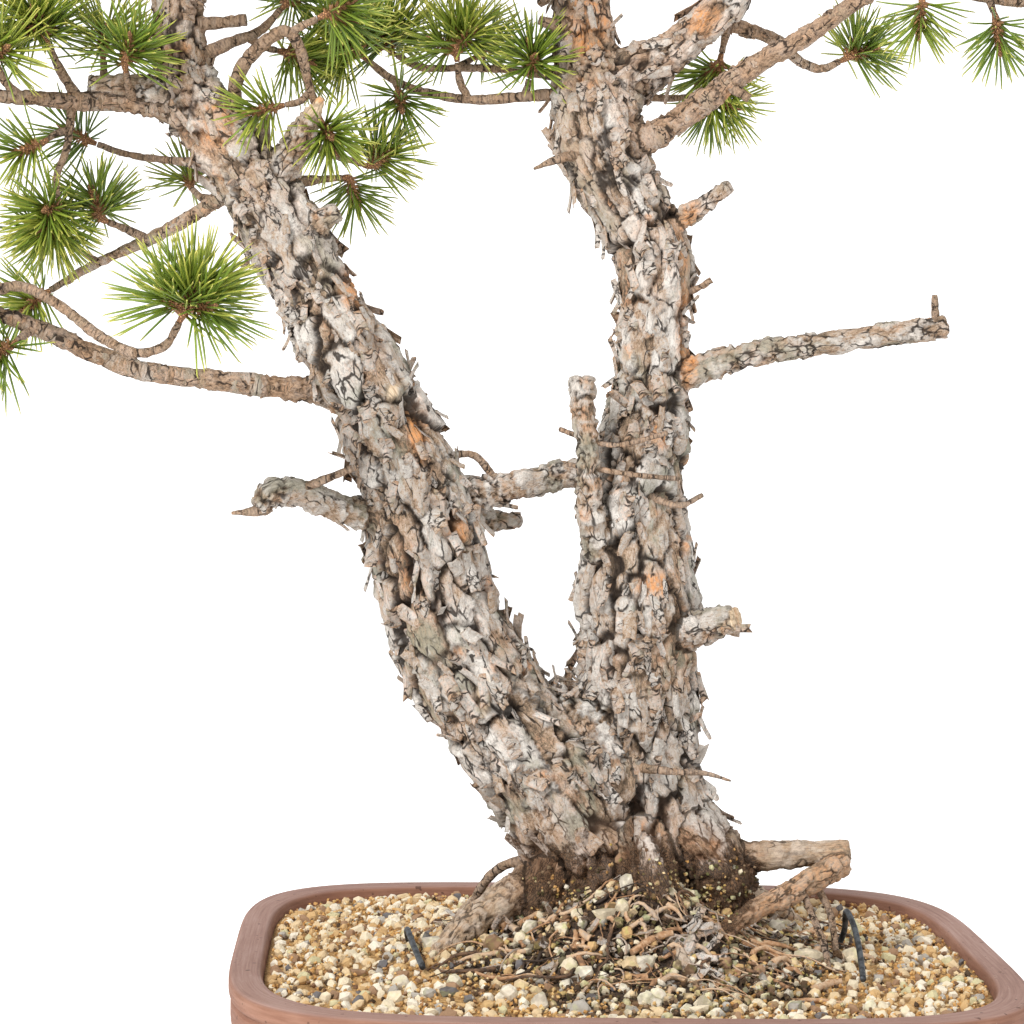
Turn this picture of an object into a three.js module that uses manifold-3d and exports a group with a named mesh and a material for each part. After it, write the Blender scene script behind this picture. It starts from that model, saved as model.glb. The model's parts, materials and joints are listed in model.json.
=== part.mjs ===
// Scots pine bonsai with two trunks in a rounded stoneware pot, in millimetres, +Z up.
// Pot centre at x = 0, y = 0 and ground at z = 0 while it is built; the group is centred at the end.
import * as THREE from "three";
import { mergeVertices } from "three/addons/utils/BufferGeometryUtils.js";
import Module from "manifold-3d";

const wasm = await Module();
wasm.setup();

// Driving dimensions.
const CLEARANCE = 0.35;
const POT_HALF_WIDTH = 190;
const POT_HALF_DEPTH = 177;
const POT_SQUARENESS = 4.5;
const POT_SEGMENTS = 36;
const RIM_HEIGHT = 95;
const RIM_WIDTH = 15.4;
const FOOT_HEIGHT = 12;
const FLOOR_TOP = 22;
const FOOT_PLACE = [112, 102];
const FOOT_SIZE = [52, 44];
const FOOT_CORNER = 14;
const DRAIN_PLACE = 85;
const DRAIN_RADIUS = 11;
const SCREEN_SIDE = 36;
const SCREEN_THICKNESS = 1.2;
const SCREEN_BAR = 3;
const SOIL_EDGE = 90;
const SOIL_MOUND = 30;
const SOIL_MOUND_RADIUS = 88;
const SOIL_RINGS = 8;
const SOIL_BOTTOM = FLOOR_TOP + SCREEN_THICKNESS + 2 * CLEARANCE;
const GRAIN_RELIEF = 1.1;
const WIRE_RADIUS = 1.5;
const WIRE_PLACE = DRAIN_PLACE + 7;
const WIRE_ASIDE = 4.5;
const PLATE_LENGTH = 21;
const PLATE_DEPTH = 0.12;
const PLATE_DEPTH_MOST = 2.8;
const CORE_FOOT_RADIUS = 1.3;
const CORE_RADIUS = 2.3;
const CORE_TIP_RADIUS = 1.3;
const CORE_BAND = 4.2;
const BEND_LENGTH = 3.2;
const FORK_STEP = 3;
const FORK_LEAN = 46;
const FORK_LEAN_SPREAD = 16;
const FORK_TURN_SPREAD = 0.3;
const BARE_RINGS = 1;
const MAIN_BANDS = 3;
const SIDE_BARE_RINGS = 1;
const SIDE_BANDS = 2;
const NEEDLE_GAP = 0.65;
const NEEDLE_FOOT_RADIUS = 1.6;
const NEEDLE_TRIES = 14;
const FOOT_LEAN = 84;
const TOP_LEAN = 40;
const TIP_LEAN = 16;
const LEAN_SPREAD = 14;
const TURN_SPREAD = 0.5;
const LENGTH_LEAST = 0.9;
const LENGTH_SPREAD = 0.16;
const SHORT_NEEDLE = 0.7;
const NEEDLE_TIP_RADIUS = 0.1;
const SOIL_ROOM = 4;

// Pot wall from the underside out, over the rim and down to the floor: inset from the rim, height.
const POT_WALL = [
  [31, FOOT_HEIGHT],
  [21, 21],
  [11, 38],
  [1, 76],
  [1, 83.6],
  [3, 85],
  [0, 87.6],
  [0, 93.4],
  [1.6, RIM_HEIGHT],
  [RIM_WIDTH - 1.4, RIM_HEIGHT],
  [RIM_WIDTH, 93.6],
  [26, 40],
  [40, FLOOR_TOP],
];

// The soil's outer side, from its edge down the inside of the pot: inset from the rim, height.
const SOIL_SIDE = [
  [16.6, SOIL_EDGE],
  [26.6, 40],
  [39.6, SOIL_BOTTOM],
];

// Wood, by hand from the trunks out to the twigs: each point is x, y, z and the radius there.
const TRUNKS = [
  {
    sides: 12,
    step: 19,
    points: [
      [-6, -4, 72, 34],
      [-9, -5, 116, 33],
      [-15, -4, 143, 33],
      [-29, -4, 170, 32],
      [-50, -3, 196, 30],
      [-70, -4, 222, 29],
      [-84, -6, 247, 28],
      [-95, -8, 272, 28],
      [-100, -10, 294, 29],
      [-105, -11, 316, 27],
      [-114, -13, 343, 24],
      [-127, -14, 365, 22],
      [-137, -14, 384, 22],
      [-149, -11, 406, 20],
      [-160, -8, 425, 19.5],
      [-169, -4, 445, 20],
      [-181, -2, 464, 20],
      [-196, 1, 484, 19],
      [-210, 3, 503, 17],
      [-220, 5, 522, 15],
      [-223, 6, 544, 14],
      [-224, 8, 567, 13],
      [-228, 10, 592, 11],
      [-238, 13, 620, 9],
      [-246, 14, 645, 6.5],
      [-250, 12, 665, 3.5],
    ],
  },
  {
    sides: 12,
    step: 19,
    points: [
      [16, 6, 72, 35],
      [19, 7, 114, 34],
      [20, 7, 142, 33],
      [16, 5, 172, 29],
      [10, 4, 200, 28],
      [8, 2, 228, 30],
      [8, 0, 253, 30],
      [5, 0, 280, 28],
      [4, 2, 307, 26],
      [6, 4, 332, 24],
      [10, 6, 354, 22],
      [12, 7, 377, 19],
      [13, 9, 399, 18],
      [14, 11, 422, 18],
      [12, 13, 442, 19],
      [4, 16, 461, 18.5],
      [-6, 18, 477, 20],
      [-13, 21, 496, 22],
      [-18, 23, 516, 21],
      [-22, 25, 536, 17.5],
      [-23, 27, 556, 16],
      [-25, 29, 579, 15],
      [-22, 30, 605, 13],
      [-13, 28, 635, 11],
      [-8, 23, 662, 9],
      [-3, 18, 690, 7],
      [2, 15, 715, 4],
    ],
  },
  {
    sides: 8,
    step: 14,
    points: [
      [-14, 22, 508, 17],
      [0, 24, 530, 14],
      [16, 23, 537, 12],
      [30, 20, 549, 10],
      [45, 17, 562, 9.5],
      [56, 15, 580, 9],
      [68, 12, 602, 8],
      [82, 8, 628, 6.5],
      [90, 2, 655, 5],
      [94, -4, 678, 3],
    ],
  },
];

// The crotch, the collar at the soil and the roots.
const ROOTS = [
  {
    sides: 9,
    step: 18,
    points: [
      [-26, -6, 148, 20], [-8, -6, 180, 22], [-16, -4, 206, 17], [-26, -3, 222, 9],
    ],
  },
  {
    sides: 9,
    step: 18,
    points: [
      [10, 2, 178, 18], [32, -2, 150, 23], [48, -4, 128, 22], [52, -4, 96, 16],
    ],
  },
  { sides: 8, step: 20, points: [[-20, -14, 150, 18], [-32, -16, 128, 18], [-36, -14, 100, 14]] },
  { sides: 8, step: 20, points: [[8, -22, 150, 16], [12, -34, 126, 17], [12, -34, 98, 13]] },
  { sides: 8, step: 20, points: [[4, 22, 156, 16], [4, 36, 128, 17], [4, 44, 96, 12]] },
  {
    sides: 6,
    step: 17,
    points: [
      [42, -4, 140, 10], [66, -6, 141, 8], [90, -10, 143, 7], [114, -14, 145, 7],
    ],
  },
  {
    sides: 6,
    step: 17,
    points: [
      [110, -18, 140, 6], [94, -30, 134, 7], [74, -40, 126, 6], [56, -48, 118, 5],
      [42, -54, 106, 4],
    ],
  },
  {
    sides: 4,
    step: 16,
    points: [
      [96, -28, 133, 3.5], [101, -32, 124, 3], [103, -36, 113, 3], [104, -42, 97, 2.5],
    ],
  },
  {
    sides: 4,
    step: 16,
    points: [
      [88, -34, 132, 3.5], [92, -42, 121, 3], [96, -50, 110, 3], [98, -58, 96, 2.5],
    ],
  },
  {
    sides: 6,
    step: 17,
    points: [
      [-34, -8, 132, 12], [-52, -16, 123, 10], [-70, -26, 113, 9], [-84, -34, 103, 7],
      [-94, -42, 90, 5],
    ],
  },
  {
    sides: 4,
    step: 16,
    points: [
      [-36, 0, 137, 4], [-56, 4, 134, 2.5], [-68, 8, 122, 2.5], [-74, 12, 106, 2.5],
    ],
  },
  {
    sides: 5,
    step: 18,
    points: [
      [-14, -34, 126, 7], [-26, -48, 118, 5.5], [-38, -60, 109, 4.5], [-48, -70, 94, 3.5],
    ],
  },
  {
    sides: 5,
    step: 18,
    points: [
      [14, -40, 124, 8], [20, -58, 116, 6.5], [24, -78, 108, 6], [30, -98, 99, 5],
      [36, -112, 88, 4],
    ],
  },
  {
    sides: 5,
    step: 18,
    points: [
      [40, 18, 126, 8], [62, 36, 118, 7], [84, 54, 106, 6], [102, 68, 92, 4],
    ],
  },
  {
    sides: 5,
    step: 18,
    points: [
      [-12, 16, 130, 10], [-44, 50, 116, 7], [-66, 68, 104, 5], [-80, 80, 90, 4],
    ],
  },
];

// Boughs, stubs and twigs that carry no needles at their end.
const STUBS = [
  {
    sides: 6,
    step: 16,
    points: [
      [-108, -6, 305, 10], [-140, -25, 312, 7.5], [-159, -34, 319, 7], [-173, -40, 319, 8],
      [-180, -43, 313, 5.5],
    ],
  },
  { sides: 4, step: 18, points: [[-174, -40, 313, 4], [-181, -43, 311, 2.5], [-192, -45, 310, 0.8]] },
  { sides: 4, step: 18, points: [[-162, -36, 320, 2.6], [-147, -43, 327, 2], [-135, -39, 332, 1.8]] },
  {
    sides: 7,
    step: 16,
    points: [
      [-101, -10, 312, 13], [-77, -9, 319, 9.5], [-57, -6, 323, 7.5], [-40, -2, 327, 7],
      [-12, 2, 332, 9],
    ],
  },
  { sides: 6, step: 16, points: [[-88, 0, 313, 7], [-66, 11, 306, 5.2], [-51, 14, 306, 4.5]] },
  {
    sides: 4,
    step: 16,
    points: [
      [-96, -5, 328, 3], [-86, -8, 338, 2], [-75, -8, 338, 2], [-64, -7, 325, 2.2],
    ],
  },
  {
    sides: 6,
    step: 17,
    points: [
      [-12, -12, 292, 9], [-19, -23, 316, 7], [-21, -27, 342, 5.4], [-23, -26, 361, 6.6],
      [-24, -26, 378, 6.2],
    ],
  },
  {
    sides: 7,
    step: 14,
    points: [
      [8, -5, 246, 13], [31, -17, 254, 9.5], [42, -25, 258, 7.8], [53, -32, 261, 7.4],
    ],
  },
  {
    sides: 6,
    step: 17,
    points: [
      [12, 4, 372, 10], [35, -1, 382, 7.6], [59, -7, 390, 6.5], [93, -12, 396, 6],
      [127, -15, 401, 6], [156, -16, 406, 6.4],
    ],
  },
  { sides: 4, step: 16, points: [[150, -16, 404, 2.4], [149, -16, 421, 1.6]] },
  { sides: 5, step: 14, points: [[14, 13, 450, 7], [37, 6, 464, 4.6], [49, 1, 474, 4]] },
  { sides: 4, step: 16, points: [[22, 8, 418, 2.4], [35, 3, 423, 1.8], [41, 2, 427, 2]] },
  { sides: 4, step: 16, points: [[-22, 12, 489, 3.4], [-39, 5, 484, 2], [-48, 4, 480, 0.7]] },
  { sides: 4, step: 16, points: [[43, 3, 523, 3.2], [51, -2, 520, 3], [57, -4, 516, 2.5]] },
  { sides: 6, step: 14, points: [[-218, 2, 512, 8], [-248, -4, 516, 5.4], [-266, -8, 516, 4]] },
  {
    sides: 7,
    step: 14,
    points: [
      [-180, -2, 464, 13], [-168, -14, 483, 8.5], [-160, -22, 496, 6.3], [-152, -27, 510, 2.2],
    ],
  },
  { sides: 4, step: 16, points: [[-214, 2, 547, 4], [-199, -1, 548, 3], [-190, -2, 549, 2.9]] },
  { sides: 6, step: 14, points: [[-160, -8, 443, 9], [-150, -17, 452, 6], [-143, -19, 456, 4]] },
  { sides: 4, step: 16, points: [[-24, 18, 553, 4.5], [-38, 14, 552, 3.2], [-46, 12, 554, 2.5]] },
  { sides: 4, step: 20, points: [[-34, -14, 352, 1.3], [-10, -29, 345, 1.4], [18, -24, 351, 1.2]] },
  { sides: 4, step: 20, points: [[-30, -16, 335, 1.3], [0, -31, 331, 1.5], [24, -22, 329, 1.2]] },
  { sides: 4, step: 20, points: [[2, -12, 324, 2.4], [24, -26, 316, 1.6], [36, -21, 321, 1.2]] },
];

// Boughs and twigs; each ends where a spray of needles begins, at its last point.
const LOW_LEFT = [
  [-144, -9, 368, 8], [-170, -16, 370, 5.6], [-209, -24, 374, 5], [-241, -33, 378, 4.8],
  [-265, -40, 388, 4.8], [-286, -48, 397, 4.5], [-301, -54, 402, 3.6], [-322, -61, 409, 2.2],
];
const LEFT = [
  [-222, 4, 504, 7], [-246, 0, 508, 5], [-269, -9, 507, 4.4], [-287, -19, 507, 3.9],
  [-305, -28, 507, 3.2], [-328, -37, 509, 2.2],
];
const DROP = [
  [-195, 0, 467, 5], [-214, 7, 455, 3.6], [-234, 16, 444, 3.2], [-265, 27, 430, 2.5],
  [-288, 36, 417, 1.8],
];
const HANG = [[-273, -11, 507, 2.6], [-275, -15, 485, 2], [-280, -17, 468, 1.9], [-279, -17, 460, 1.7]];
const ARCH = [
  [-196, -4, 500, 4.4], [-193, -17, 520, 3.6], [-183, -25, 533, 3.4], [-170, -28, 541, 3.2],
  [-164, -24, 535, 2.8], [-159, -18, 518, 2.2], [-154, -12, 503, 1.7],
];
const LONG_A = [
  [-26, 22, 520, 4], [-58, 26, 517, 2.7], [-80, 31, 516, 2.5], [-104, 34, 520, 2.4],
  [-119, 35, 526, 2], [-131, 35, 535, 1.7],
];
const LONG_B = [
  [-28, 30, 528, 3], [-58, 38, 532, 2.4], [-84, 42, 533, 2], [-104, 45, 533, 1.9],
  [-116, 47, 539, 1.6],
];
const RIGHT = [
  [-6, 17, 488, 9], [24, 8, 506, 6.2], [45, 2, 522, 5.8], [62, -2, 534, 5], [83, -9, 546, 4.5],
  [106, -16, 562, 4.3], [128, -21, 574, 4], [152, -25, 569, 3.4], [176, -27, 564, 3],
  [200, -28, 561, 2.6], [218, -28, 553, 1.8],
];
const FORK_BACK = [
  [32, 20, 551, 5], [50, 33, 556, 4], [78, 48, 550, 3.4], [90, 53, 541, 2.6],
  [102, 57, 538, 2.2], [111, 58, 542, 1.8],
];
const BOUGHS = [
  { sides: 5, step: 19, points: LOW_LEFT },
  { sides: 5, step: 20, points: LEFT },
  { sides: 5, step: 20, points: DROP },
  { sides: 4, step: 18, points: HANG },
  { sides: 5, step: 11, points: ARCH },
  { sides: 5, step: 20, points: LONG_A },
  { sides: 4, step: 22, points: LONG_B },
  { sides: 5, step: 19, points: RIGHT },
  { sides: 5, step: 18, points: FORK_BACK },
];

// Twigs that end in a spray: the way the spray points, how many shoots it has and its needles' length.
const SPRAY_TWIGS = [
  {
    points: [
      [-312, -58, 406, 3], [-300, -62, 414, 2.7], [-288, -68, 415, 2.6], [-270, -77, 406, 2.6],
      [-250, -90, 392, 2.6], [-233, -101, 385, 2.5], [-219, -110, 389, 2.2],
      [-213, -114, 399, 1.8],
    ],
    towards: [0.45, -0.35, 0.85],
    shoots: 4,
    needle: 33,
  },
  { from: LOW_LEFT, towards: [-0.9, -0.2, 0.4], shoots: 3, needle: 30 },
  {
    points: [
      [-286, -48, 397, 3], [-290, -53, 393, 2.2], [-293, -57, 390, 1.7],
    ],
    towards: [-0.5, -0.6, -0.4],
    shoots: 2,
    needle: 30,
  },
  { from: LEFT, towards: [-1, -0.1, 0.2], shoots: 2, needle: 29 },
  {
    points: [
      [-270, -9, 507, 3], [-279, -13, 522, 2.4], [-284, -15, 532, 1.8],
    ],
    towards: [-0.3, -0.2, 1],
    shoots: 3,
    needle: 30,
  },
  {
    points: [
      [-297, -24, 507, 2.8], [-303, -30, 514, 2.2], [-306, -34, 520, 1.8],
    ],
    towards: [-0.4, -0.5, 0.8],
    shoots: 2,
    needle: 29,
  },
  {
    points: [
      [-256, -4, 508, 3], [-259, 3, 519, 2.4], [-260, 6, 528, 1.8],
    ],
    towards: [0.1, 0.35, 1],
    shoots: 2,
    needle: 29,
  },
  {
    points: [
      [-244, 0, 508, 3], [-246, -10, 514, 2.2], [-247, -16, 521, 1.8],
    ],
    towards: [0.2, -0.7, 0.9],
    shoots: 2,
    needle: 27,
  },
  { from: HANG, towards: [-0.5, -0.3, -0.8], shoots: 3, needle: 28 },
  {
    points: [
      [-274, -13, 493, 2], [-280, -15, 491, 1.7], [-284, -17, 488, 1.5],
    ],
    towards: [-0.9, -0.2, -0.4],
    shoots: 1,
    needle: 25,
  },
  {
    points: [
      [-238, 17, 442, 2.4], [-249, 13, 447, 2], [-257, 8, 450, 1.7],
    ],
    towards: [-0.3, -0.3, 0.9],
    shoots: 2,
    needle: 27,
  },
  {
    points: [
      [-264, 27, 431, 2], [-272, 22, 436, 1.8], [-279, 18, 439, 1.6],
    ],
    towards: [-0.8, -0.2, 0.5],
    shoots: 2,
    needle: 27,
  },
  { from: DROP, towards: [-0.8, 0.4, -0.3], shoots: 2, needle: 27 },
  {
    points: [
      [-200, 8, 480, 3], [-232, 20, 482, 2], [-252, 21, 485, 1.8], [-264, 20, 489, 1.6],
    ],
    towards: [-0.8, 0.2, 0.4],
    shoots: 1,
    needle: 25,
  },
  {
    points: [
      [-206, 4, 461, 3], [-213, 18, 464, 2], [-217, 28, 468, 1.6],
    ],
    towards: [-0.2, 0.8, 0.7],
    shoots: 1,
    needle: 24,
  },
  { from: ARCH, towards: [0.5, 0.2, -0.9], shoots: 2, needle: 25 },
  {
    points: [
      [-158, -16, 514, 2], [-163, -14, 509, 1.8], [-170, -15, 507, 1.6],
    ],
    towards: [-0.7, -0.3, -0.2],
    shoots: 1,
    needle: 24,
  },
  {
    points: [
      [-216, 3, 530, 4], [-197, 4, 539, 3], [-184, 8, 545, 2.5], [-174, 11, 556, 1.8],
    ],
    towards: [0.3, 0.2, 1],
    shoots: 3,
    needle: 30,
  },
  {
    points: [
      [-190, 6, 542, 2.6], [-182, 14, 538, 2], [-176, 18, 537, 1.7],
    ],
    towards: [0.7, 0.5, -0.1],
    shoots: 2,
    needle: 28,
  },
  {
    points: [
      [-168, -27, 540, 2.4], [-161, -30, 544, 2], [-155, -30, 547, 1.7],
    ],
    towards: [0.8, -0.2, 0.4],
    shoots: 2,
    needle: 28,
  },
  { from: LONG_A, towards: [-0.8, -0.1, 0.6], shoots: 3, needle: 30 },
  {
    points: [
      [-118, 35, 526, 2], [-116, 28, 521, 1.6],
    ],
    towards: [0.1, -0.7, -0.6],
    shoots: 1,
    needle: 27,
  },
  { from: LONG_B, towards: [-0.2, 0.1, 1], shoots: 3, needle: 30 },
  {
    points: [
      [-80, 31, 516, 2.4], [-85, 30, 526, 2], [-86, 29, 534, 1.7],
    ],
    towards: [0, -0.1, 1],
    shoots: 3,
    needle: 29,
  },
  { points: [[-86, 41, 533, 2], [-78, 46, 538, 1.6]], towards: [0.5, 0.6, 0.5], shoots: 1, needle: 26 },
  {
    points: [
      [-52, 25, 518, 2.2], [-50, 24, 526, 1.7],
    ],
    towards: [-0.1, -0.3, 1],
    shoots: 2,
    needle: 27,
  },
  {
    points: [
      [-172, 8, 474, 3], [-158, 14, 489, 2.5], [-147, 18, 486, 2], [-133, 22, 482, 1.7],
    ],
    towards: [0.75, 0, 0.45],
    shoots: 2,
    needle: 27,
  },
  {
    points: [
      [-174, 4, 470, 4], [-151, 19, 474, 2], [-143, 22, 475, 1.6],
    ],
    towards: [0.3, 0.4, -0.8],
    shoots: 1,
    needle: 25,
  },
  {
    points: [
      [-4, 26, 520, 3], [19, 33, 519, 2], [39, 41, 521, 1.6],
    ],
    towards: [0.9, 0.3, -0.3],
    shoots: 2,
    needle: 26,
  },
  {
    points: [
      [50, 33, 556, 2.6], [49, 36, 549, 2], [48, 38, 543, 1.7],
    ],
    towards: [0.1, 0.2, -1],
    shoots: 2,
    needle: 27,
  },
  { from: FORK_BACK, towards: [0.5, 0.1, 0.8], shoots: 2, needle: 27 },
  {
    points: [
      [132, -22, 573, 2.6], [136, -24, 566, 1.7],
    ],
    towards: [-0.1, -0.1, -1],
    shoots: 1,
    needle: 26,
  },
  {
    points: [
      [170, -27, 565, 2.4], [172, -29, 558, 1.7],
    ],
    towards: [0.1, -0.2, -1],
    shoots: 1,
    needle: 26,
  },
  {
    points: [
      [188, -28, 563, 2.4], [192, -22, 567, 2], [196, -17, 572, 1.7],
    ],
    towards: [0.3, 0.5, 0.8],
    shoots: 2,
    needle: 27,
  },
  { from: RIGHT, towards: [0.1, -0.1, -1], shoots: 3, needle: 28 },
  {
    points: [
      [-226, 8, 585, 6], [-258, -24, 598, 4], [-290, -50, 606, 3], [-313, -68, 612, 1.9],
    ],
    towards: [-0.7, -0.4, 0.6],
    shoots: 3,
    needle: 31,
  },
  {
    points: [
      [-266, -30, 600, 3], [-256, -62, 610, 2.4], [-250, -90, 616, 1.8],
    ],
    towards: [0.1, -0.7, 0.8],
    shoots: 3,
    needle: 30,
  },
  {
    points: [
      [-230, 10, 600, 5], [-242, 54, 610, 3.6], [-254, 100, 616, 1.9],
    ],
    towards: [-0.1, 0.8, 0.6],
    shoots: 3,
    needle: 31,
  },
  {
    points: [
      [-232, 11, 606, 5], [-198, -14, 620, 3.4], [-172, -38, 628, 1.9],
    ],
    towards: [0.8, -0.2, 0.7],
    shoots: 3,
    needle: 31,
  },
  {
    points: [
      [-240, 13, 628, 4], [-206, 36, 640, 3], [-186, 62, 646, 1.9],
    ],
    towards: [0.1, -0.7, 0.8],
    shoots: 3,
    needle: 30,
  },
  { from: TRUNKS[0].points, towards: [-0.3, 0.1, 1], shoots: 3, needle: 31 },
  {
    points: [
      [-22, 30, 600, 6], [-56, -8, 616, 4], [-86, -42, 626, 3], [-104, -64, 630, 1.9],
    ],
    towards: [-0.7, -0.4, 0.6],
    shoots: 3,
    needle: 31,
  },
  {
    points: [
      [-19, 30, 615, 5.5], [-34, 76, 628, 3.6], [-46, 118, 634, 1.9],
    ],
    towards: [-0.1, 0.8, 0.6],
    shoots: 3,
    needle: 31,
  },
  {
    points: [
      [-10, 26, 645, 5], [10, -18, 656, 3.4], [22, -60, 662, 1.9],
    ],
    towards: [0.4, -0.6, 0.7],
    shoots: 3,
    needle: 30,
  },
  {
    points: [
      [-8, 24, 660, 4.5], [-42, 34, 672, 3], [-70, 44, 680, 1.9],
    ],
    towards: [-0.7, 0.2, 0.7],
    shoots: 3,
    needle: 30,
  },
  { from: TRUNKS[1].points, towards: [0.1, 0, 1], shoots: 3, needle: 31 },
  {
    points: [
      [66, 12, 598, 5], [92, -26, 610, 3.4], [112, -62, 614, 1.9],
    ],
    towards: [0.6, -0.5, 0.6],
    shoots: 3,
    needle: 31,
  },
  {
    points: [
      [72, 11, 610, 5], [92, 52, 622, 3.2], [104, 92, 626, 1.9],
    ],
    towards: [0.3, 0.8, 0.6],
    shoots: 3,
    needle: 31,
  },
  { from: TRUNKS[2].points, towards: [0.2, -0.2, 1], shoots: 3, needle: 31 },
];

// Tie wire: under the pot from drain to drain, up through the soil, with both ends lying on it.
const WIRE = [
  [-98, -80, 99.5],
  [-102, -52, 104],
  [-105, -24, 106.5],
  [-104, -10, 98],
  [-97, -1, 76],
  [-WIRE_PLACE, WIRE_ASIDE, 50],
  [-WIRE_PLACE, WIRE_ASIDE, 24],
  [-WIRE_PLACE + 6, WIRE_ASIDE, 14],
  [-WIRE_PLACE + 17, WIRE_ASIDE, 9.2],
  [-50, WIRE_ASIDE, 9],
  [0, WIRE_ASIDE, 9],
  [50, WIRE_ASIDE, 9],
  [WIRE_PLACE - 17, WIRE_ASIDE, 9.2],
  [WIRE_PLACE - 6, WIRE_ASIDE, 14],
  [WIRE_PLACE, WIRE_ASIDE, 24],
  [WIRE_PLACE, WIRE_ASIDE, 50],
  [99, -4, 78],
  [106, -16, 102],
  [111, -34, 115],
  [112, -52, 107.5],
  [111, -70, 101.5],
  [109, -88, 97],
];

const FINISHES = {
  stoneware: { color: 0x8f6b60, roughness: 0.85, metalness: 0 },
  soil: { color: 0xcbb187, roughness: 0.95, metalness: 0 },
  bark: { color: 0x94877b, roughness: 0.9, metalness: 0 },
  needles: { color: 0x5f8a35, roughness: 0.5, metalness: 0 },
  wire: { color: 0x5c6168, roughness: 0.45, metalness: 0.8 },
  screen: { color: 0x23282a, roughness: 0.6, metalness: 0 },
};

// Repeatable random numbers from 0 to 1.
function seededDraw(seed) {
  let state = seed;
  return () => {
    state = (state + 0x6d2b79f5) | 0;
    let mixed = Math.imul(state ^ (state >>> 15), 1 | state);
    mixed = (mixed + Math.imul(mixed ^ (mixed >>> 7), 61 | mixed)) ^ mixed;
    return ((mixed ^ (mixed >>> 14)) >>> 0) / 4294967296;
  };
}

// One fixed random number from 0 to 1 for three whole numbers.
function fixedDraw(a, b, c) {
  return seededDraw(a * 7919 + b * 104729 + c * 1299709)();
}

function positionsOnly(geometry) {
  const plain = new THREE.BufferGeometry();
  plain.setAttribute("position", geometry.getAttribute("position"));
  if (geometry.index) plain.setIndex(geometry.index);
  return mergeVertices(plain, 1e-3);
}

function solidOf(geometry) {
  const merged = positionsOnly(geometry);
  const mesh = new wasm.Mesh({
    numProp: 3,
    vertProperties: merged.attributes.position.array,
    triVerts: new Uint32Array(merged.index.array),
  });
  return new wasm.Manifold(mesh);
}

function joined(solids) {
  return solids.reduce((whole, next) => whole.add(next));
}

// Cutting can leave a crumb loose; the largest piece is the body.
function largestPiece(solid) {
  const pieces = solid.decompose();
  return pieces.reduce((best, piece) => (piece.volume() > best.volume() ? piece : best));
}

function meshOf(name, solid, finish) {
  const { vertProperties, triVerts } = solid.getMesh();
  const geometry = new THREE.BufferGeometry();
  geometry.setAttribute("position", new THREE.BufferAttribute(new Float32Array(vertProperties), 3));
  geometry.setIndex(new THREE.BufferAttribute(new Uint32Array(triVerts), 1));
  geometry.computeVertexNormals();
  const mesh = new THREE.Mesh(geometry, new THREE.MeshStandardMaterial(FINISHES[finish]));
  mesh.name = name;
  return mesh;
}

function mapVertices(geometry, place) {
  const position = geometry.getAttribute("position");
  const point = new THREE.Vector3();
  for (let i = 0; i < position.count; i += 1) {
    place(point.fromBufferAttribute(position, i));
    position.setXYZ(i, point.x, point.y, point.z);
  }
  return geometry;
}

// The rounded square outline of the pot, at an inset from its rim.
function outlinePoint(angle, inset) {
  const across = Math.cos(angle);
  const along = Math.sin(angle);
  const spread = Math.abs(across) ** POT_SQUARENESS + Math.abs(along) ** POT_SQUARENESS;
  const reach = spread ** (-1 / POT_SQUARENESS);
  return [(POT_HALF_WIDTH - inset) * across * reach, (POT_HALF_DEPTH - inset) * along * reach];
}

// A body turned from a profile of insets and heights, then squared off to the pot's outline.
// Heights may depend on the place, so that the soil's top can be a mound.
function squaredBody(profile, heightAt) {
  const turned = profile.map(([inset, height]) => new THREE.Vector2(POT_HALF_WIDTH - inset, height));
  const lathe = new THREE.LatheGeometry(turned, POT_SEGMENTS);
  return mapVertices(lathe, (point) => {
    const distance = Math.hypot(point.x, point.z);
    const height = point.y;
    const angle = Math.atan2(point.z, point.x);
    const onAxis = distance < 1e-6;
    const [x, y] = onAxis ? [0, 0] : outlinePoint(angle, POT_HALF_WIDTH - distance);
    point.set(x, -y, heightAt ? heightAt(x, -y, height) : height);
  });
}

function potSolid() {
  const profile = [[POT_HALF_WIDTH, FOOT_HEIGHT], ...POT_WALL, [POT_HALF_WIDTH, FLOOR_TOP]];
  const feet = [-1, 1].flatMap((across) => [-1, 1].map((along) => footSolid(across, along)));
  const bowl = joined([solidOf(squaredBody(profile)), ...feet]);
  const drains = [-1, 1].map((side) => {
    const drain = new THREE.CylinderGeometry(DRAIN_RADIUS, DRAIN_RADIUS, 2 * FLOOR_TOP, 14);
    return solidOf(drain.rotateX(Math.PI / 2).translate(side * DRAIN_PLACE, 0, FLOOR_TOP / 2));
  });
  return drains.reduce((body, drain) => body.subtract(drain), bowl);
}

function footSolid(across, along) {
  const [width, depth] = FOOT_SIZE;
  const outline = new THREE.Shape();
  outline.moveTo(-width / 2 + FOOT_CORNER, -depth / 2);
  outline.lineTo(width / 2 - FOOT_CORNER, -depth / 2);
  outline.absarc(width / 2 - FOOT_CORNER, -depth / 2 + FOOT_CORNER, FOOT_CORNER, -Math.PI / 2, 0);
  outline.absarc(width / 2 - FOOT_CORNER, depth / 2 - FOOT_CORNER, FOOT_CORNER, 0, Math.PI / 2);
  outline.absarc(-width / 2 + FOOT_CORNER, depth / 2 - FOOT_CORNER, FOOT_CORNER, Math.PI / 2, Math.PI);
  const turned = 1.5 * Math.PI;
  outline.absarc(-width / 2 + FOOT_CORNER, -depth / 2 + FOOT_CORNER, FOOT_CORNER, Math.PI, turned);
  const depthIntoPot = 4;
  const block = new THREE.ExtrudeGeometry(outline, {
    depth: FOOT_HEIGHT + depthIntoPot,
    bevelEnabled: false,
    curveSegments: 2,
  });
  return solidOf(block.translate(across * FOOT_PLACE[0], along * FOOT_PLACE[1], 0));
}

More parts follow.
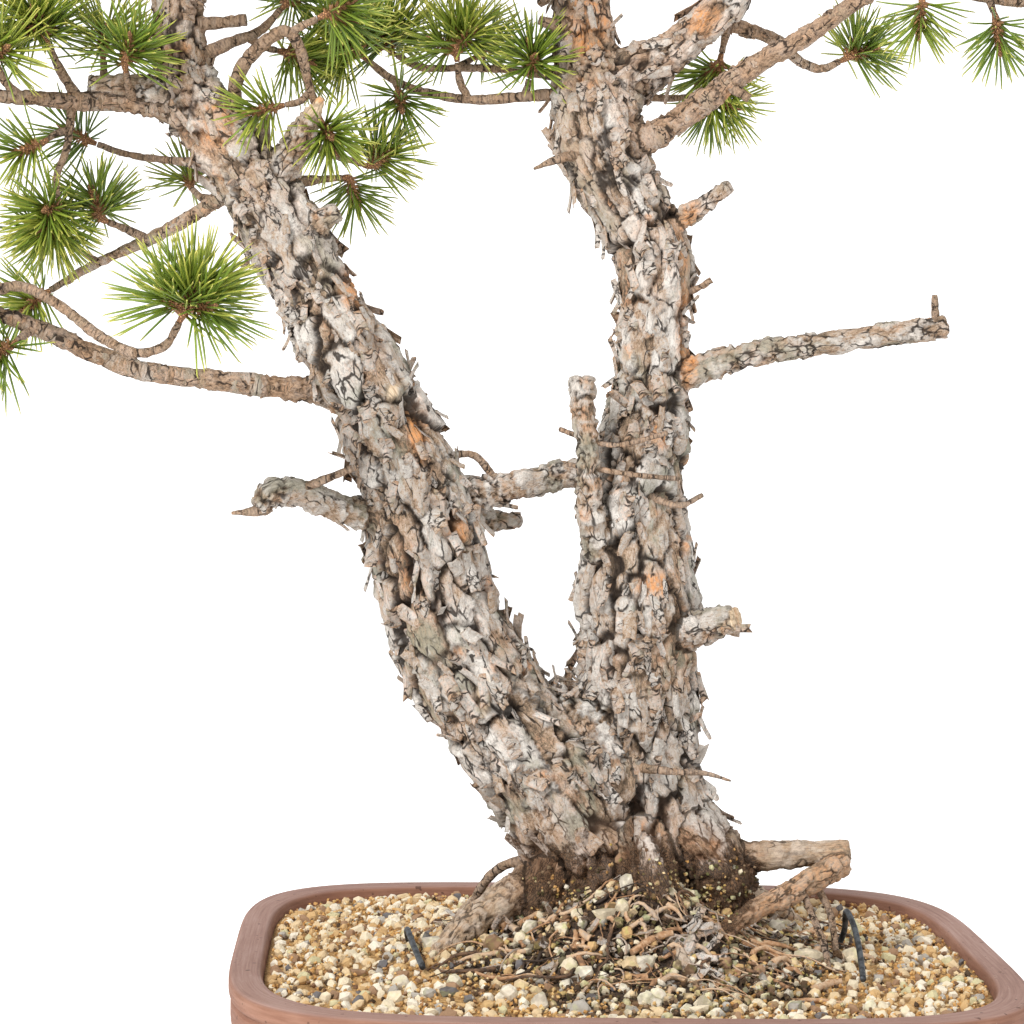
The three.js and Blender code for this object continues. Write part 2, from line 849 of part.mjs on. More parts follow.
// The soil's smooth top: nearly flat at the wall, a mound at the foot of the trunks.
function soilHeight(x, y) {
  const distance = Math.hypot(x, 1.1 * (y + 4));
  return SOIL_EDGE + SOIL_MOUND * Math.exp(-((distance / SOIL_MOUND_RADIUS) ** 2));
}

function soilSolid(cuts) {
  const edge = SOIL_SIDE[0][0];
  const top = [];
  for (let ring = 0; ring < SOIL_RINGS; ring += 1) {
    top.push([POT_HALF_WIDTH - ((POT_HALF_WIDTH - edge) * ring) / SOIL_RINGS, SOIL_EDGE + 1]);
  }
  const profile = [...top, ...SOIL_SIDE, [POT_HALF_WIDTH, SOIL_BOTTOM]].reverse();
  const body = squaredBody(profile, (x, y, height) => {
    if (height <= SOIL_EDGE) return height;
    const grain = fixedDraw(Math.round(x), Math.round(y), 5) - 0.5;
    return soilHeight(x, y) + 2 * GRAIN_RELIEF * grain;
  });
  return largestPiece(cuts.reduce((soil, cut) => soil.subtract(cut), solidOf(body)));
}

// A rod bent along a curve, as rings of points; reachAt gives the radius for a ring and a side.
// twist turns each ring a little further, and overrun lengthens both ends.
function bentRod({ curve, rings, sides, reachAt, twist = 0, overrun = 0 }) {
  const frames = curve.computeFrenetFrames(rings);
  const rod = new THREE.CylinderGeometry(1, 1, rings, sides, rings);
  return mapVertices(rod, (point) => {
    const ring = Math.round(rings / 2 - point.y);
    const onAxis = Math.hypot(point.x, point.z) < 0.5;
    const angle = Math.atan2(point.x, point.z);
    const side = Math.round((angle / (2 * Math.PI)) * sides + sides) % sides;
    const turned = angle + twist * ring;
    const reach = onAxis ? 0 : reachAt(ring, side);
    const past = (ring === rings) - (ring === 0);
    point.copy(curve.getPointAt(ring / rings));
    point.addScaledVector(frames.normals[ring], -Math.cos(turned) * reach);
    point.addScaledVector(frames.binormals[ring], Math.sin(turned) * reach);
    point.addScaledVector(frames.tangents[ring], past * overrun);
  });
}

function limbCurve(points) {
  return new THREE.CatmullRomCurve3(points.map(([x, y, z]) => new THREE.Vector3(x, y, z)));
}

function limbRings({ points, step }) {
  return Math.max(2, Math.round(limbCurve(points).getLength() / step));
}

// The radius between two of a limb's points.
function limbRadius(points, curve, share) {
  const place = curve.getUtoTmapping(share) * (points.length - 1);
  const before = Math.min(Math.floor(place), points.length - 2);
  return THREE.MathUtils.lerp(points[before][3], points[before + 1][3], place - before);
}

// A limb of wood or wire; its bark stands out in plates, each by its own amount.
// grow widens it all round, to cut a plain hole with clearance.
function limbSolid(limb, salt, grow = 0) {
  const { points, sides, step, smooth = false } = limb;
  const curve = limbCurve(points);
  const rings = limbRings(limb);
  const reachAt = (ring, side) => {
    const radius = limbRadius(points, curve, ring / rings);
    const depth = smooth ? 0 : Math.min(PLATE_DEPTH * radius, PLATE_DEPTH_MOST);
    const plate = Math.floor((ring * step) / PLATE_LENGTH + 0.5 * (side % 2));
    return radius + 2 * depth * (fixedDraw(plate, side, salt) - 0.5) + grow;
  };
  return solidOf(bentRod({ curve, rings, sides, reachAt, overrun: grow }));
}

// A straight line's tapered body, used to keep needles clear of what is there already.
function taperedLine(start, end, startRadius, endRadius) {
  return { start, end, startRadius, endRadius };
}

function limbLines(limb) {
  const { points } = limb;
  const curve = limbCurve(points);
  const rings = limbRings(limb);
  const places = Array.from({ length: rings + 1 }, (_, ring) => curve.getPointAt(ring / rings));
  const radii = places.map((_, ring) => {
    const radius = limbRadius(points, curve, ring / rings);
    return radius + Math.min(PLATE_DEPTH * radius, PLATE_DEPTH_MOST);
  });
  return places.slice(1).map((end, i) => taperedLine(places[i], end, radii[i], radii[i + 1]));
}

// The room between two tapered lines, measured where their axes come closest.
function roomBetween(one, other) {
  const along = one.end.clone().sub(one.start);
  const across = other.end.clone().sub(other.start);
  const between = one.start.clone().sub(other.start);
  const a = along.dot(along);
  const e = across.dot(across);
  const f = across.dot(between);
  const c = along.dot(between);
  const b = along.dot(across);
  const slant = a * e - b * b;
  const first = slant > 1e-9 ? THREE.MathUtils.clamp((b * f - c * e) / slant, 0, 1) : 0;
  const t = THREE.MathUtils.clamp((b * first + f) / e, 0, 1);
  const s = THREE.MathUtils.clamp((b * t - c) / a, 0, 1);
  const from = one.start.clone().addScaledVector(along, s);
  const to = other.start.clone().addScaledVector(across, t);
  const radii =
    THREE.MathUtils.lerp(one.startRadius, one.endRadius, s) +
    THREE.MathUtils.lerp(other.startRadius, other.endRadius, t);
  return from.distanceTo(to) - radii;
}

// A direction at an angle from an axis, turned round it.
function directionAround(axis, angle, turn) {
  const helper = Math.abs(axis.z) < 0.9 ? new THREE.Vector3(0, 0, 1) : new THREE.Vector3(1, 0, 0);
  const across = new THREE.Vector3().crossVectors(axis, helper).normalize();
  const other = new THREE.Vector3().crossVectors(axis, across);
  const sideways = across.multiplyScalar(Math.cos(turn)).addScaledVector(other, Math.sin(turn));
  return axis.clone().multiplyScalar(Math.cos(angle)).addScaledVector(sideways, Math.sin(angle));
}

// The shoots of a spray: the main one leads on from its twig, the others fork from it.
function sprayShoots(spray, draw) {
  const route = spray.points ?? spray.from;
  const curve = limbCurve(route);
  const outward = curve.getTangentAt(1);
  const towards = new THREE.Vector3(...spray.towards).normalize();
  const start = curve.getPointAt(1).addScaledVector(outward, CLEARANCE);
  const bend = start.clone().addScaledVector(outward, BEND_LENGTH);
  const mainLength = (BARE_RINGS + MAIN_BANDS) * CORE_BAND - BEND_LENGTH;
  const middle = bend.clone().addScaledVector(towards, mainLength / 2);
  const end = bend.clone().addScaledVector(towards, mainLength);
  const main = {
    curve: new THREE.CatmullRomCurve3([start, bend, middle, end]),
    rings: BARE_RINGS + MAIN_BANDS,
    bare: BARE_RINGS,
  };
  const shoots = [main];
  const firstTurn = draw() * 2 * Math.PI;
  for (let i = 1; i < spray.shoots; i += 1) {
    const turn = firstTurn + (2 * Math.PI * (i + FORK_TURN_SPREAD * draw())) / (spray.shoots - 1);
    const lean = THREE.MathUtils.degToRad(FORK_LEAN + FORK_LEAN_SPREAD * draw());
    const direction = directionAround(towards, lean, turn);
    const fork = bend.clone().addScaledVector(towards, FORK_STEP * (i - 1));
    const sideLength = (SIDE_BARE_RINGS + SIDE_BANDS) * CORE_BAND;
    shoots.push({
      curve: new THREE.LineCurve3(fork, fork.clone().addScaledVector(direction, sideLength)),
      rings: SIDE_BARE_RINGS + SIDE_BANDS,
      bare: SIDE_BARE_RINGS,
    });
  }
  return shoots;
}

// A core is slim where it forks off, thickest where its needles begin, and narrows to its tip.
function coreRadius(share) {
  const { lerp } = THREE.MathUtils;
  if (share < 1 / 3) return lerp(CORE_FOOT_RADIUS, CORE_RADIUS, 3 * share);
  return lerp(CORE_RADIUS, CORE_TIP_RADIUS, 1.5 * share - 0.5);
}

function shootLines({ curve, rings }) {
  const places = Array.from({ length: rings + 1 }, (_, ring) => curve.getPointAt(ring / rings));
  return places
    .slice(1)
    .map((end, i) => taperedLine(places[i], end, coreRadius(i / rings), coreRadius((i + 1) / rings)));
}

// One shoot: a slim three-sided core from whose faces the needles are raised on all sides,
// standing square at its foot and leaning forwards at its tip.
function needledShoot(shoot, needle, draw, placed) {
  const { curve, rings, bare } = shoot;
  const reachAt = (ring) => coreRadius(ring / rings);
  const rod = positionsOnly(bentRod({ curve, rings, sides: 3, reachAt, twist: Math.PI / 3 }));
  const corners = Array.from(rod.attributes.position.array);
  const faces = [];
  const own = new Set(shoot.lines);
  const [a, b, c] = [new THREE.Vector3(), new THREE.Vector3(), new THREE.Vector3()];
  for (let i = 0; i < rod.index.count; i += 3) {
    const face = [0, 1, 2].map((k) => rod.index.getX(i + k));
    [a, b, c].forEach((corner, k) => corner.fromBufferAttribute(rod.attributes.position, face[k]));
    const middle = a.clone().add(b).add(c).divideScalar(3);
    const normal = b.clone().sub(a).cross(c.clone().sub(a)).normalize();
    const tip = needleTip({ curve, rings, bare, middle, normal, needle, draw, placed, own });
    if (!tip) {
      faces.push(...face);
      continue;
    }
    const top = corners.length / 3;
    corners.push(tip.x, tip.y, tip.z);
    faces.push(face[0], face[1], top, face[1], face[2], top, face[2], face[0], top);
  }
  return new wasm.Manifold(
    new wasm.Mesh({
      numProp: 3,
      vertProperties: new Float32Array(corners),
      triVerts: new Uint32Array(faces),
    }),
  );
}

// Where a needle raised from one face of the core ends, or nothing where there is no room for it.
function needleTip({ curve, rings, bare, middle, normal, needle, draw, placed, own }) {
  const share = nearestShare(curve, middle, 4 * rings);
  if (share * rings < bare) return null;
  const axis = curve.getTangentAt(share);
  const facing = normal.dot(axis);
  if (facing < -0.8) return null;
  const outward = middle.clone().sub(curve.getPointAt(share));
  const sideways = outward.addScaledVector(axis, -outward.dot(axis)).normalize();
  const grown = (share * rings - bare) / (rings - bare);
  const lean = facing > 0.8 ? TIP_LEAN : THREE.MathUtils.lerp(FOOT_LEAN, TOP_LEAN, grown);
  for (let attempt = 0; attempt < NEEDLE_TRIES; attempt += 1) {
    const angle = THREE.MathUtils.degToRad(lean + LEAN_SPREAD * (draw() - 0.5));
    const turn = TURN_SPREAD * (draw() - 0.5);
    const full = needle * (LENGTH_LEAST + LENGTH_SPREAD * draw());
    const length = attempt < NEEDLE_TRIES / 2 ? full : SHORT_NEEDLE * full;
    const around = sideways.clone().applyAxisAngle(axis, turn);
    const direction = axis.clone().multiplyScalar(Math.cos(angle));
    direction.addScaledVector(around, Math.sin(angle));
    const tip = middle.clone().addScaledVector(direction, length);
    const line = taperedLine(middle, tip, NEEDLE_FOOT_RADIUS, NEEDLE_TIP_RADIUS);
    const clear = placed.every((other) => own.has(other) || roomBetween(line, other) > NEEDLE_GAP);
    if (clear && !inPotOrSoil(tip)) {
      own.add(line);
      placed.push(line);
      return tip;
    }
  }
  return null;
}

function nearestShare(curve, point, samples) {
  let best = 0;
  let least = Infinity;
  for (let i = 0; i <= samples; i += 1) {
    const distance = curve.getPointAt(i / samples).distanceToSquared(point);
    if (distance < least) {
      least = distance;
      best = i / samples;
    }
  }
  return best;
}

function inPotOrSoil({ x, y, z }) {
  return z < soilHeight(x, y) + SOIL_ROOM;
}

// A plastic net laid over a drain, so that no soil washes out.
function screenSolid(side) {
  const plate = new THREE.BoxGeometry(SCREEN_SIDE, SCREEN_SIDE, SCREEN_THICKNESS);
  const height = FLOOR_TOP + CLEARANCE + SCREEN_THICKNESS / 2;
  const place = (geometry, x, y) => solidOf(geometry.translate(side * DRAIN_PLACE + x, y, height));
  const openingSide = (SCREEN_SIDE - 3 * SCREEN_BAR) / 2;
  const offCentre = (openingSide + SCREEN_BAR) / 2;
  const openings = [-1, 1].flatMap((column) =>
    [-1, 1].map((row) => {
      const opening = new THREE.BoxGeometry(openingSide, openingSide, 3 * SCREEN_THICKNESS);
      return place(opening, column * offCentre, row * offCentre);
    }),
  );
  return openings.reduce((net, opening) => net.subtract(opening), place(plate, 0, 0));
}

const twigs = SPRAY_TWIGS.filter((spray) => spray.points).map(({ points }) => ({
  sides: 3,
  step: 26,
  points,
}));
const limbs = [...TRUNKS, ...ROOTS, ...STUBS, ...BOUGHS, ...twigs];
const limbsInSoil = limbs.slice(0, TRUNKS.length + ROOTS.length);
const wire = { sides: 4, step: 13, smooth: true, points: WIRE.map((p) => [...p, WIRE_RADIUS]) };

const wood = joined(limbs.map((limb, salt) => limbSolid(limb, salt)));
const holes = limbsInSoil.map((limb, salt) => limbSolid(limb, salt, CLEARANCE));
const wireHole = limbSolid(wire, 0, CLEARANCE);

const draw = seededDraw(20264);
const sprays = SPRAY_TWIGS.map((spray) => {
  const shoots = sprayShoots(spray, draw);
  shoots.forEach((shoot) => {
    shoot.lines = shootLines(shoot);
  });
  return { shoots, needle: spray.needle };
});
const placed = [...limbs.flatMap(limbLines)];
sprays.forEach(({ shoots }) => shoots.forEach(({ lines }) => placed.push(...lines)));

const bonsai = new THREE.Group();
bonsai.add(meshOf("pot", potSolid(), "stoneware"));
bonsai.add(meshOf("soil", soilSolid([joined(holes), wireHole]), "soil"));
bonsai.add(meshOf("wood", wood, "bark"));
bonsai.add(meshOf("tie_wire", limbSolid(wire, 0), "wire"));
bonsai.add(meshOf("drain_screen_left", screenSolid(-1), "screen"));
bonsai.add(meshOf("drain_screen_right", screenSolid(1), "screen"));
sprays.forEach(({ shoots, needle }, i) => {
  const solids = shoots.map((shoot) => needledShoot(shoot, needle, draw, placed));
  const name = `needle_spray_${String(i + 1).padStart(2, "0")}`;
  bonsai.add(meshOf(name, joined(solids), "needles"));
});

// The origin is on the ground, under the middle of the whole plant.
const box = new THREE.Box3().setFromObject(bonsai);
const middle = box.getCenter(new THREE.Vector3());
bonsai.position.set(-middle.x, -middle.y, -box.min.z);
const root = new THREE.Group();
root.add(bonsai);

export default root;
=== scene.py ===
"""A Scots pine bonsai with two flaky trunks in an unglazed pot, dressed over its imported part."""

import json
import logging
import math
from collections.abc import Callable, Iterable, Mapping, Sequence
from dataclasses import dataclass, field, replace
from enum import Enum

import bmesh
import bpy
import numpy as np
from mathutils import Matrix, Vector

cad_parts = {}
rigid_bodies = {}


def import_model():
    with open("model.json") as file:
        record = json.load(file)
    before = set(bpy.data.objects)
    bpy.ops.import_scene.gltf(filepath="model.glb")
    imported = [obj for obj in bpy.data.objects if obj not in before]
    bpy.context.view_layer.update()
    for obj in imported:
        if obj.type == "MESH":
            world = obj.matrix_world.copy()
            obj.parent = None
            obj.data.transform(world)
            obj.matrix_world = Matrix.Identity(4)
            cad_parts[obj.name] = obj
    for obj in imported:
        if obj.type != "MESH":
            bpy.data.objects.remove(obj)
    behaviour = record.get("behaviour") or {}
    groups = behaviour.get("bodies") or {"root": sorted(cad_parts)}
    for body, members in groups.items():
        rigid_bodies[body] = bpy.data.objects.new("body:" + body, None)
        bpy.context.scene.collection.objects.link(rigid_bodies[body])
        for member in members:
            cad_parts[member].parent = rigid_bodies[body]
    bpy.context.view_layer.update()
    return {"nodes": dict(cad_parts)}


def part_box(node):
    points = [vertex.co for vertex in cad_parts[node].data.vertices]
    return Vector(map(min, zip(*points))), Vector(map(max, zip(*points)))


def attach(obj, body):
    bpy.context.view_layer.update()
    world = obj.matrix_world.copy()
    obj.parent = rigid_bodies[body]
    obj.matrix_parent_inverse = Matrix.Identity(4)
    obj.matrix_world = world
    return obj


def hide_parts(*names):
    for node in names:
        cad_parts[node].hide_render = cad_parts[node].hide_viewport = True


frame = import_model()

log = logging.getLogger("pine_bonsai")

MM = 0.001
Place = tuple[float, ...]
Colour = tuple[float, float, float]
Array = np.ndarray
Faces = list[tuple[int, ...]]
Shape = tuple[Array, Faces]
Piece = bpy.types.Object
Node = bpy.types.Node
Socket = bpy.types.NodeSocket
Store = bpy.types.Collection


def plant_centre() -> Array:
    """The pot's middle on the ground, in metres, from which every size here is counted."""
    low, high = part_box("pot")
    return np.array([(low.x + high.x) / 2, (low.y + high.y) / 2, 0.0])


CENTRE = plant_centre()


# Repeatable patterns in numbers


def cell_share(cells: Array, salt: int) -> Array:
    """Gives each whole-number cell a fixed random share.

    Args:
        cells: Whole numbers, three to a row.
        salt: Picks one of many unlike patterns.

    Returns:
        One share from 0 to 1 for each row.
    """
    mixed = (cells[..., 0] * 73856093) ^ (cells[..., 1] * 19349663) ^ (cells[..., 2] * 83492791)
    mixed = (mixed ^ (salt * 668265263)) & 0xFFFFFFFF
    mixed = ((mixed ^ (mixed >> 15)) * 0x2C1B3C6D) & 0xFFFFFFFF
    mixed = ((mixed ^ (mixed >> 12)) * 0x297A2D39) & 0xFFFFFFFF
    return (mixed ^ (mixed >> 15)) / 4294967296.0


def cloud(points: Array, salt: int) -> Array:
    """Soft noise from -1 to 1, about one unit from lump to lump.

    Args:
        points: Places, three numbers to a row.
        salt: Picks the pattern.

    Returns:
        One number for each row.
    """
    low = np.floor(points).astype(np.int64)
    part = points - low
    part = part * part * (3 - 2 * part)
    total = np.zeros(len(points))
    for corner in np.ndindex(2, 2, 2):
        weight = np.prod(np.where(np.array(corner) == 1, part, 1 - part), axis=1)
        total += weight * cell_share(low + np.array(corner), salt)
    return 2 * total - 1


def clouds(points: Array, salt: int, layers: int = 3) -> Array:
    """Soft noise from about -1 to 1, in several sizes added up, for rows of places."""
    total = sum(0.5**i * cloud(points * 2.1**i, salt + i) for i in range(layers))
    return total / sum(0.5**i for i in range(layers))


@dataclass(frozen=True)
class Scales:
    """A pattern of scales: how deep inside its scale a place is, and which scale it is.

    Attributes:
        edge: 0 at a scale's border, growing inwards.
        tint: A share from 0 to 1 that is the same all over one scale.
        offset: Where the place is in its scale, from the scale's middle.
    """

    edge: Array
    tint: Array
    offset: Array


def scales(points: Array, salt: int) -> Scales:
    """Parts space into scales about one unit across.

    Args:
        points: Places, three numbers to a row.
        salt: Picks the pattern.

    Returns:
        The scale that each place lies in.
    """
    base = np.floor(points).astype(np.int64)
    nearest = np.full(len(points), 9.0)
    second = np.full(len(points), 9.0)
    tint = np.zeros(len(points))
    offset = np.zeros((len(points), 3))
    for step in np.ndindex(3, 3, 3):
        cell = base + np.array(step) - 1
        seed = np.stack([cell_share(cell, salt + k) for k in range(3)], axis=-1)
        away = points - (cell + 0.15 + 0.7 * seed)
        distance = np.sqrt((away**2).sum(axis=1))
        closer = distance < nearest
        second = np.where(closer, nearest, np.minimum(second, distance))
        nearest = np.where(closer, distance, nearest)
        tint = np.where(closer, cell_share(cell, salt + 7), tint)
        offset = np.where(closer[:, None], away, offset)
    return Scales(second - nearest, tint, offset)


def smooth(values: Array, low: float, high: float) -> Array:
    """A soft step from 0 at low to 1 at high."""
    share = np.clip((values - low) / (high - low), 0, 1)
    return share * share * (3 - 2 * share)


def seeded_draw(seed: int) -> Callable[[], float]:
    """The same repeatable numbers from 0 to 1 that placed the part's shoots.

    Args:
        seed: Where the run of numbers starts.

    Returns:
        A function that gives the next number.
    """
    state = [seed]

    def times(a: int, b: int) -> int:
        """A product cut to 32 bits."""
        return (a * b) & 0xFFFFFFFF

    def draw() -> float:
        """The next number."""
        state[0] = (state[0] + 0x6D2B79F5) & 0xFFFFFFFF
        mixed = times(state[0] ^ (state[0] >> 15), 1 | state[0])
        mixed = ((mixed + times(mixed ^ (mixed >> 7), 61 | mixed)) & 0xFFFFFFFF) ^ mixed
        return ((mixed ^ (mixed >> 14)) & 0xFFFFFFFF) / 4294967296.0

    return draw


# Lines and meshes


def unit(vector: Array) -> Array:
    """The vector at length 1."""
    return vector / max(float(np.linalg.norm(vector)), 1e-9)


@dataclass(frozen=True)
class Route:
    """A smooth line with its thickness and a frame that doesn't twist, in millimetres.

    Attributes:
        centres: Places along the line.
        radii: The radius at each place.
        along: The way on at each place.
        aside: One way across at each place.
        over: The other way across at each place.
        lengths: How far along each place is.
    """

    centres: Array
    radii: Array
    along: Array
    aside: Array
    over: Array
    lengths: Array

    @classmethod
    def through(cls, points: Sequence[Place], step: float) -> "Route":
        """Draws the line through given points.

        Args:
            points: Each x, y, z and radius.
            step: The distance from place to place.

        Returns:
            The line.
        """
        handles = np.array(points, float)
        places = handles[:, :3]
        ends = np.vstack([2 * places[0] - places[1], places, 2 * places[-1] - places[-2]])
        share = np.linspace(0, 1, 24, endpoint=False)[:, None]
        fine: list[Array] = []
        for i in range(len(places) - 1):
            before, start, end, after = ends[i : i + 4]
            gaps = [
                max(float(np.linalg.norm(b - a)) ** 0.5, 1e-4)
                for a,
                b in ((before, start), (start, end), (end, after))
            ]
            leave = (start - before) / gaps[0] - (end - before) / (gaps[0] + gaps[1])
            leave = (leave + (end - start) / gaps[1]) * gaps[1]
            arrive = (end - start) / gaps[1] - (after - start) / (gaps[1] + gaps[2])
            arrive = (arrive + (after - end) / gaps[2]) * gaps[1]
            curve = start + leave * share
            curve = curve + (3 * (end - start) - 2 * leave - arrive) * share**2
            curve = curve + (2 * (start - end) + leave + arrive) * share**3
            radius = handles[i, 3] + (handles[i + 1, 3] - handles[i, 3]) * share
            fine.append(np.hstack([curve, radius]))
        line = np.vstack([*fine, handles[-1:, :4]])
        walked = np.linalg.norm(np.diff(line[:, :3], axis=0), axis=1)
        lengths = np.concatenate([[0.0], np.cumsum(walked)])
        count = max(2, round(lengths[-1] / step))
        at = np.linspace(0, lengths[-1], count + 1)
        centres = np.stack([np.interp(at, lengths, line[:, k]) for k in range(3)], axis=1)
        radii = np.interp(at, lengths, line[:, 3])
        return cls.framed(centres, radii, at)

    @classmethod
    def framed(cls, centres: Array, radii: Array, lengths: Array) -> "Route":
        """Gives a line of places its frame.

        Args:
            centres: Places along the line.
            radii: The radius at each place.
            lengths: How far along each place is.

        Returns:
            The line with its frame.
        """
        along = np.gradient(centres, axis=0)
        along /= np.linalg.norm(along, axis=1)[:, None]
        helper = np.array([0.0, 0.0, 1.0]) if abs(along[0][2]) < 0.9 else np.array([1.0, 0.0, 0.0])
        aside = [unit(np.cross(helper, along[0]))]
        for way in along[1:]:
            aside.append(unit(aside[-1] - way * float(aside[-1] @ way)))
        across = np.array(aside)
        return cls(centres, radii, along, across, np.cross(along, across), lengths)


def ways_round(route: Route, sides: int) -> Array:
    """The ways outwards round each place of a line."""
    turns = np.arange(sides) * 2 * np.pi / sides
    across = route.aside[:, None] * np.cos(turns)[None, :, None]
    return across + route.over[:, None] * np.sin(turns)[None, :, None]


def tube(route: Route, sides: int, reach: Array | None = None) -> Shape:
    """A closed tube round a line.

    Args:
        route: The line.
        sides: How many corners each ring has.
        reach: Each corner's radius, a row to a ring, or the line's own.

    Returns:
        The corners and the faces, which point outwards.
    """
    if reach is None:
        reach = np.repeat(route.radii[:, None], sides, axis=1)
    rings = route.centres[:, None] + reach[..., None] * ways_round(route, sides)
    corners = np.vstack([rings.reshape(-1, 3), route.centres[:1], route.centres[-1:]])
    last = len(route.centres) - 1
    start, end = len(corners) - 2, len(corners) - 1
    faces: Faces = []
    for i in range(last):
        for j in range(sides):
            k = (j + 1) % sides
            a, b = i * sides, (i + 1) * sides
            faces.append((a + j, a + k, b + k, b + j))
    for j in range(sides):
        k = (j + 1) % sides
        faces.append((start, k, j))
        faces.append((end, last * sides + j, last * sides + k))
    return corners, faces


def joined_shapes(shapes: Iterable[Shape]) -> Shape:
    """Puts several shapes into one list of corners and faces.

    Args:
        shapes: Corners and faces of each.

    Returns:
        The corners and faces of all.
    """
    corners: list[Array] = []
    faces: Faces = []
    count = 0
    for own_corners, own_faces in shapes:
        corners.append(own_corners)
        faces.extend(tuple(i + count for i in face) for face in own_faces)
        count += len(own_corners)
    return np.vstack(corners), faces


def linked(name: str, data: bpy.types.ID) -> Piece:
    """Puts a mesh, a camera or a light into the scene."""
    made = bpy.data.objects.new(name, data)
    bpy.context.scene.collection.objects.link(made)
    return made


def mesh_object(name: str, corners: Array, faces: Faces, rounded: bool = True) -> Piece:
    """A mesh object at the origin, with its place in its mesh.

    Args:
        name: The piece's name.
        corners: In millimetres from the pot's middle.
        faces: Corner numbers of each face.
        rounded: Whether the faces are shaded as one soft surface.

    Returns:
        The object, linked to the scene.
    """
    mesh = bpy.data.meshes.new(name)
    mesh.from_pydata((corners * MM + CENTRE).tolist(), [], faces)
    mesh.polygons.foreach_set("use_smooth", [rounded] * len(mesh.polygons))
    mesh.update()
    return linked(name, mesh)


def mark(mesh: bpy.types.Mesh, name: str, values: Array) -> None:
    """Stores a number or a vector on each corner of a mesh, under a name.

    Args:
        mesh: The mesh.
        name: What a material or a tree of nodes calls it.
        values: One number, or three, for each corner.
    """
    vector = values.ndim == 2
    layer = mesh.attributes.new(name, "FLOAT_VECTOR" if vector else "FLOAT", "POINT")
    layer.data.foreach_set("vector" if vector else "value", values.astype(np.float32).ravel())


def corner_values(mesh: bpy.types.Mesh, what: str) -> Array:
    """Each corner's place, or its normal, as rows of numbers."""
    values = np.empty(len(mesh.vertices) * 3, np.float32)
    mesh.vertices.foreach_get(what, values)
    return values.reshape(-1, 3).astype(float)


def baked_copy(name: str, source: Piece) -> Piece:
    """Turns an object and its modifiers into a plain mesh object, and removes the first.

    Args:
        name: The new piece's name.
        source: The object with its modifiers.

    Returns:
        The plain object, linked to the scene.
    """
    graph = bpy.context.evaluated_depsgraph_get()
    graph.update()
    mesh = bpy.data.meshes.new_from_object(source.evaluated_get(graph), depsgraph=graph)
    mesh.name = name
    bpy.data.objects.remove(source)
    return linked(name, mesh)


def settle(piece: Piece, slot: str, *nodes: str) -> Piece:
    """Makes a piece ride with the plant, hides the part's nodes that it replaces and logs its triangles.

    Args:
        piece: The finished piece.
        slot: Not used.
        nodes: The part's nodes that it replaces.

    Returns:
        The piece.
    """
    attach(piece, "root")
    if nodes:
        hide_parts(*nodes)
    piece.data.calc_loop_triangles()
    log.info("%s: %d triangles", piece.name, len(piece.data.loop_triangles))
    return piece


# Node work


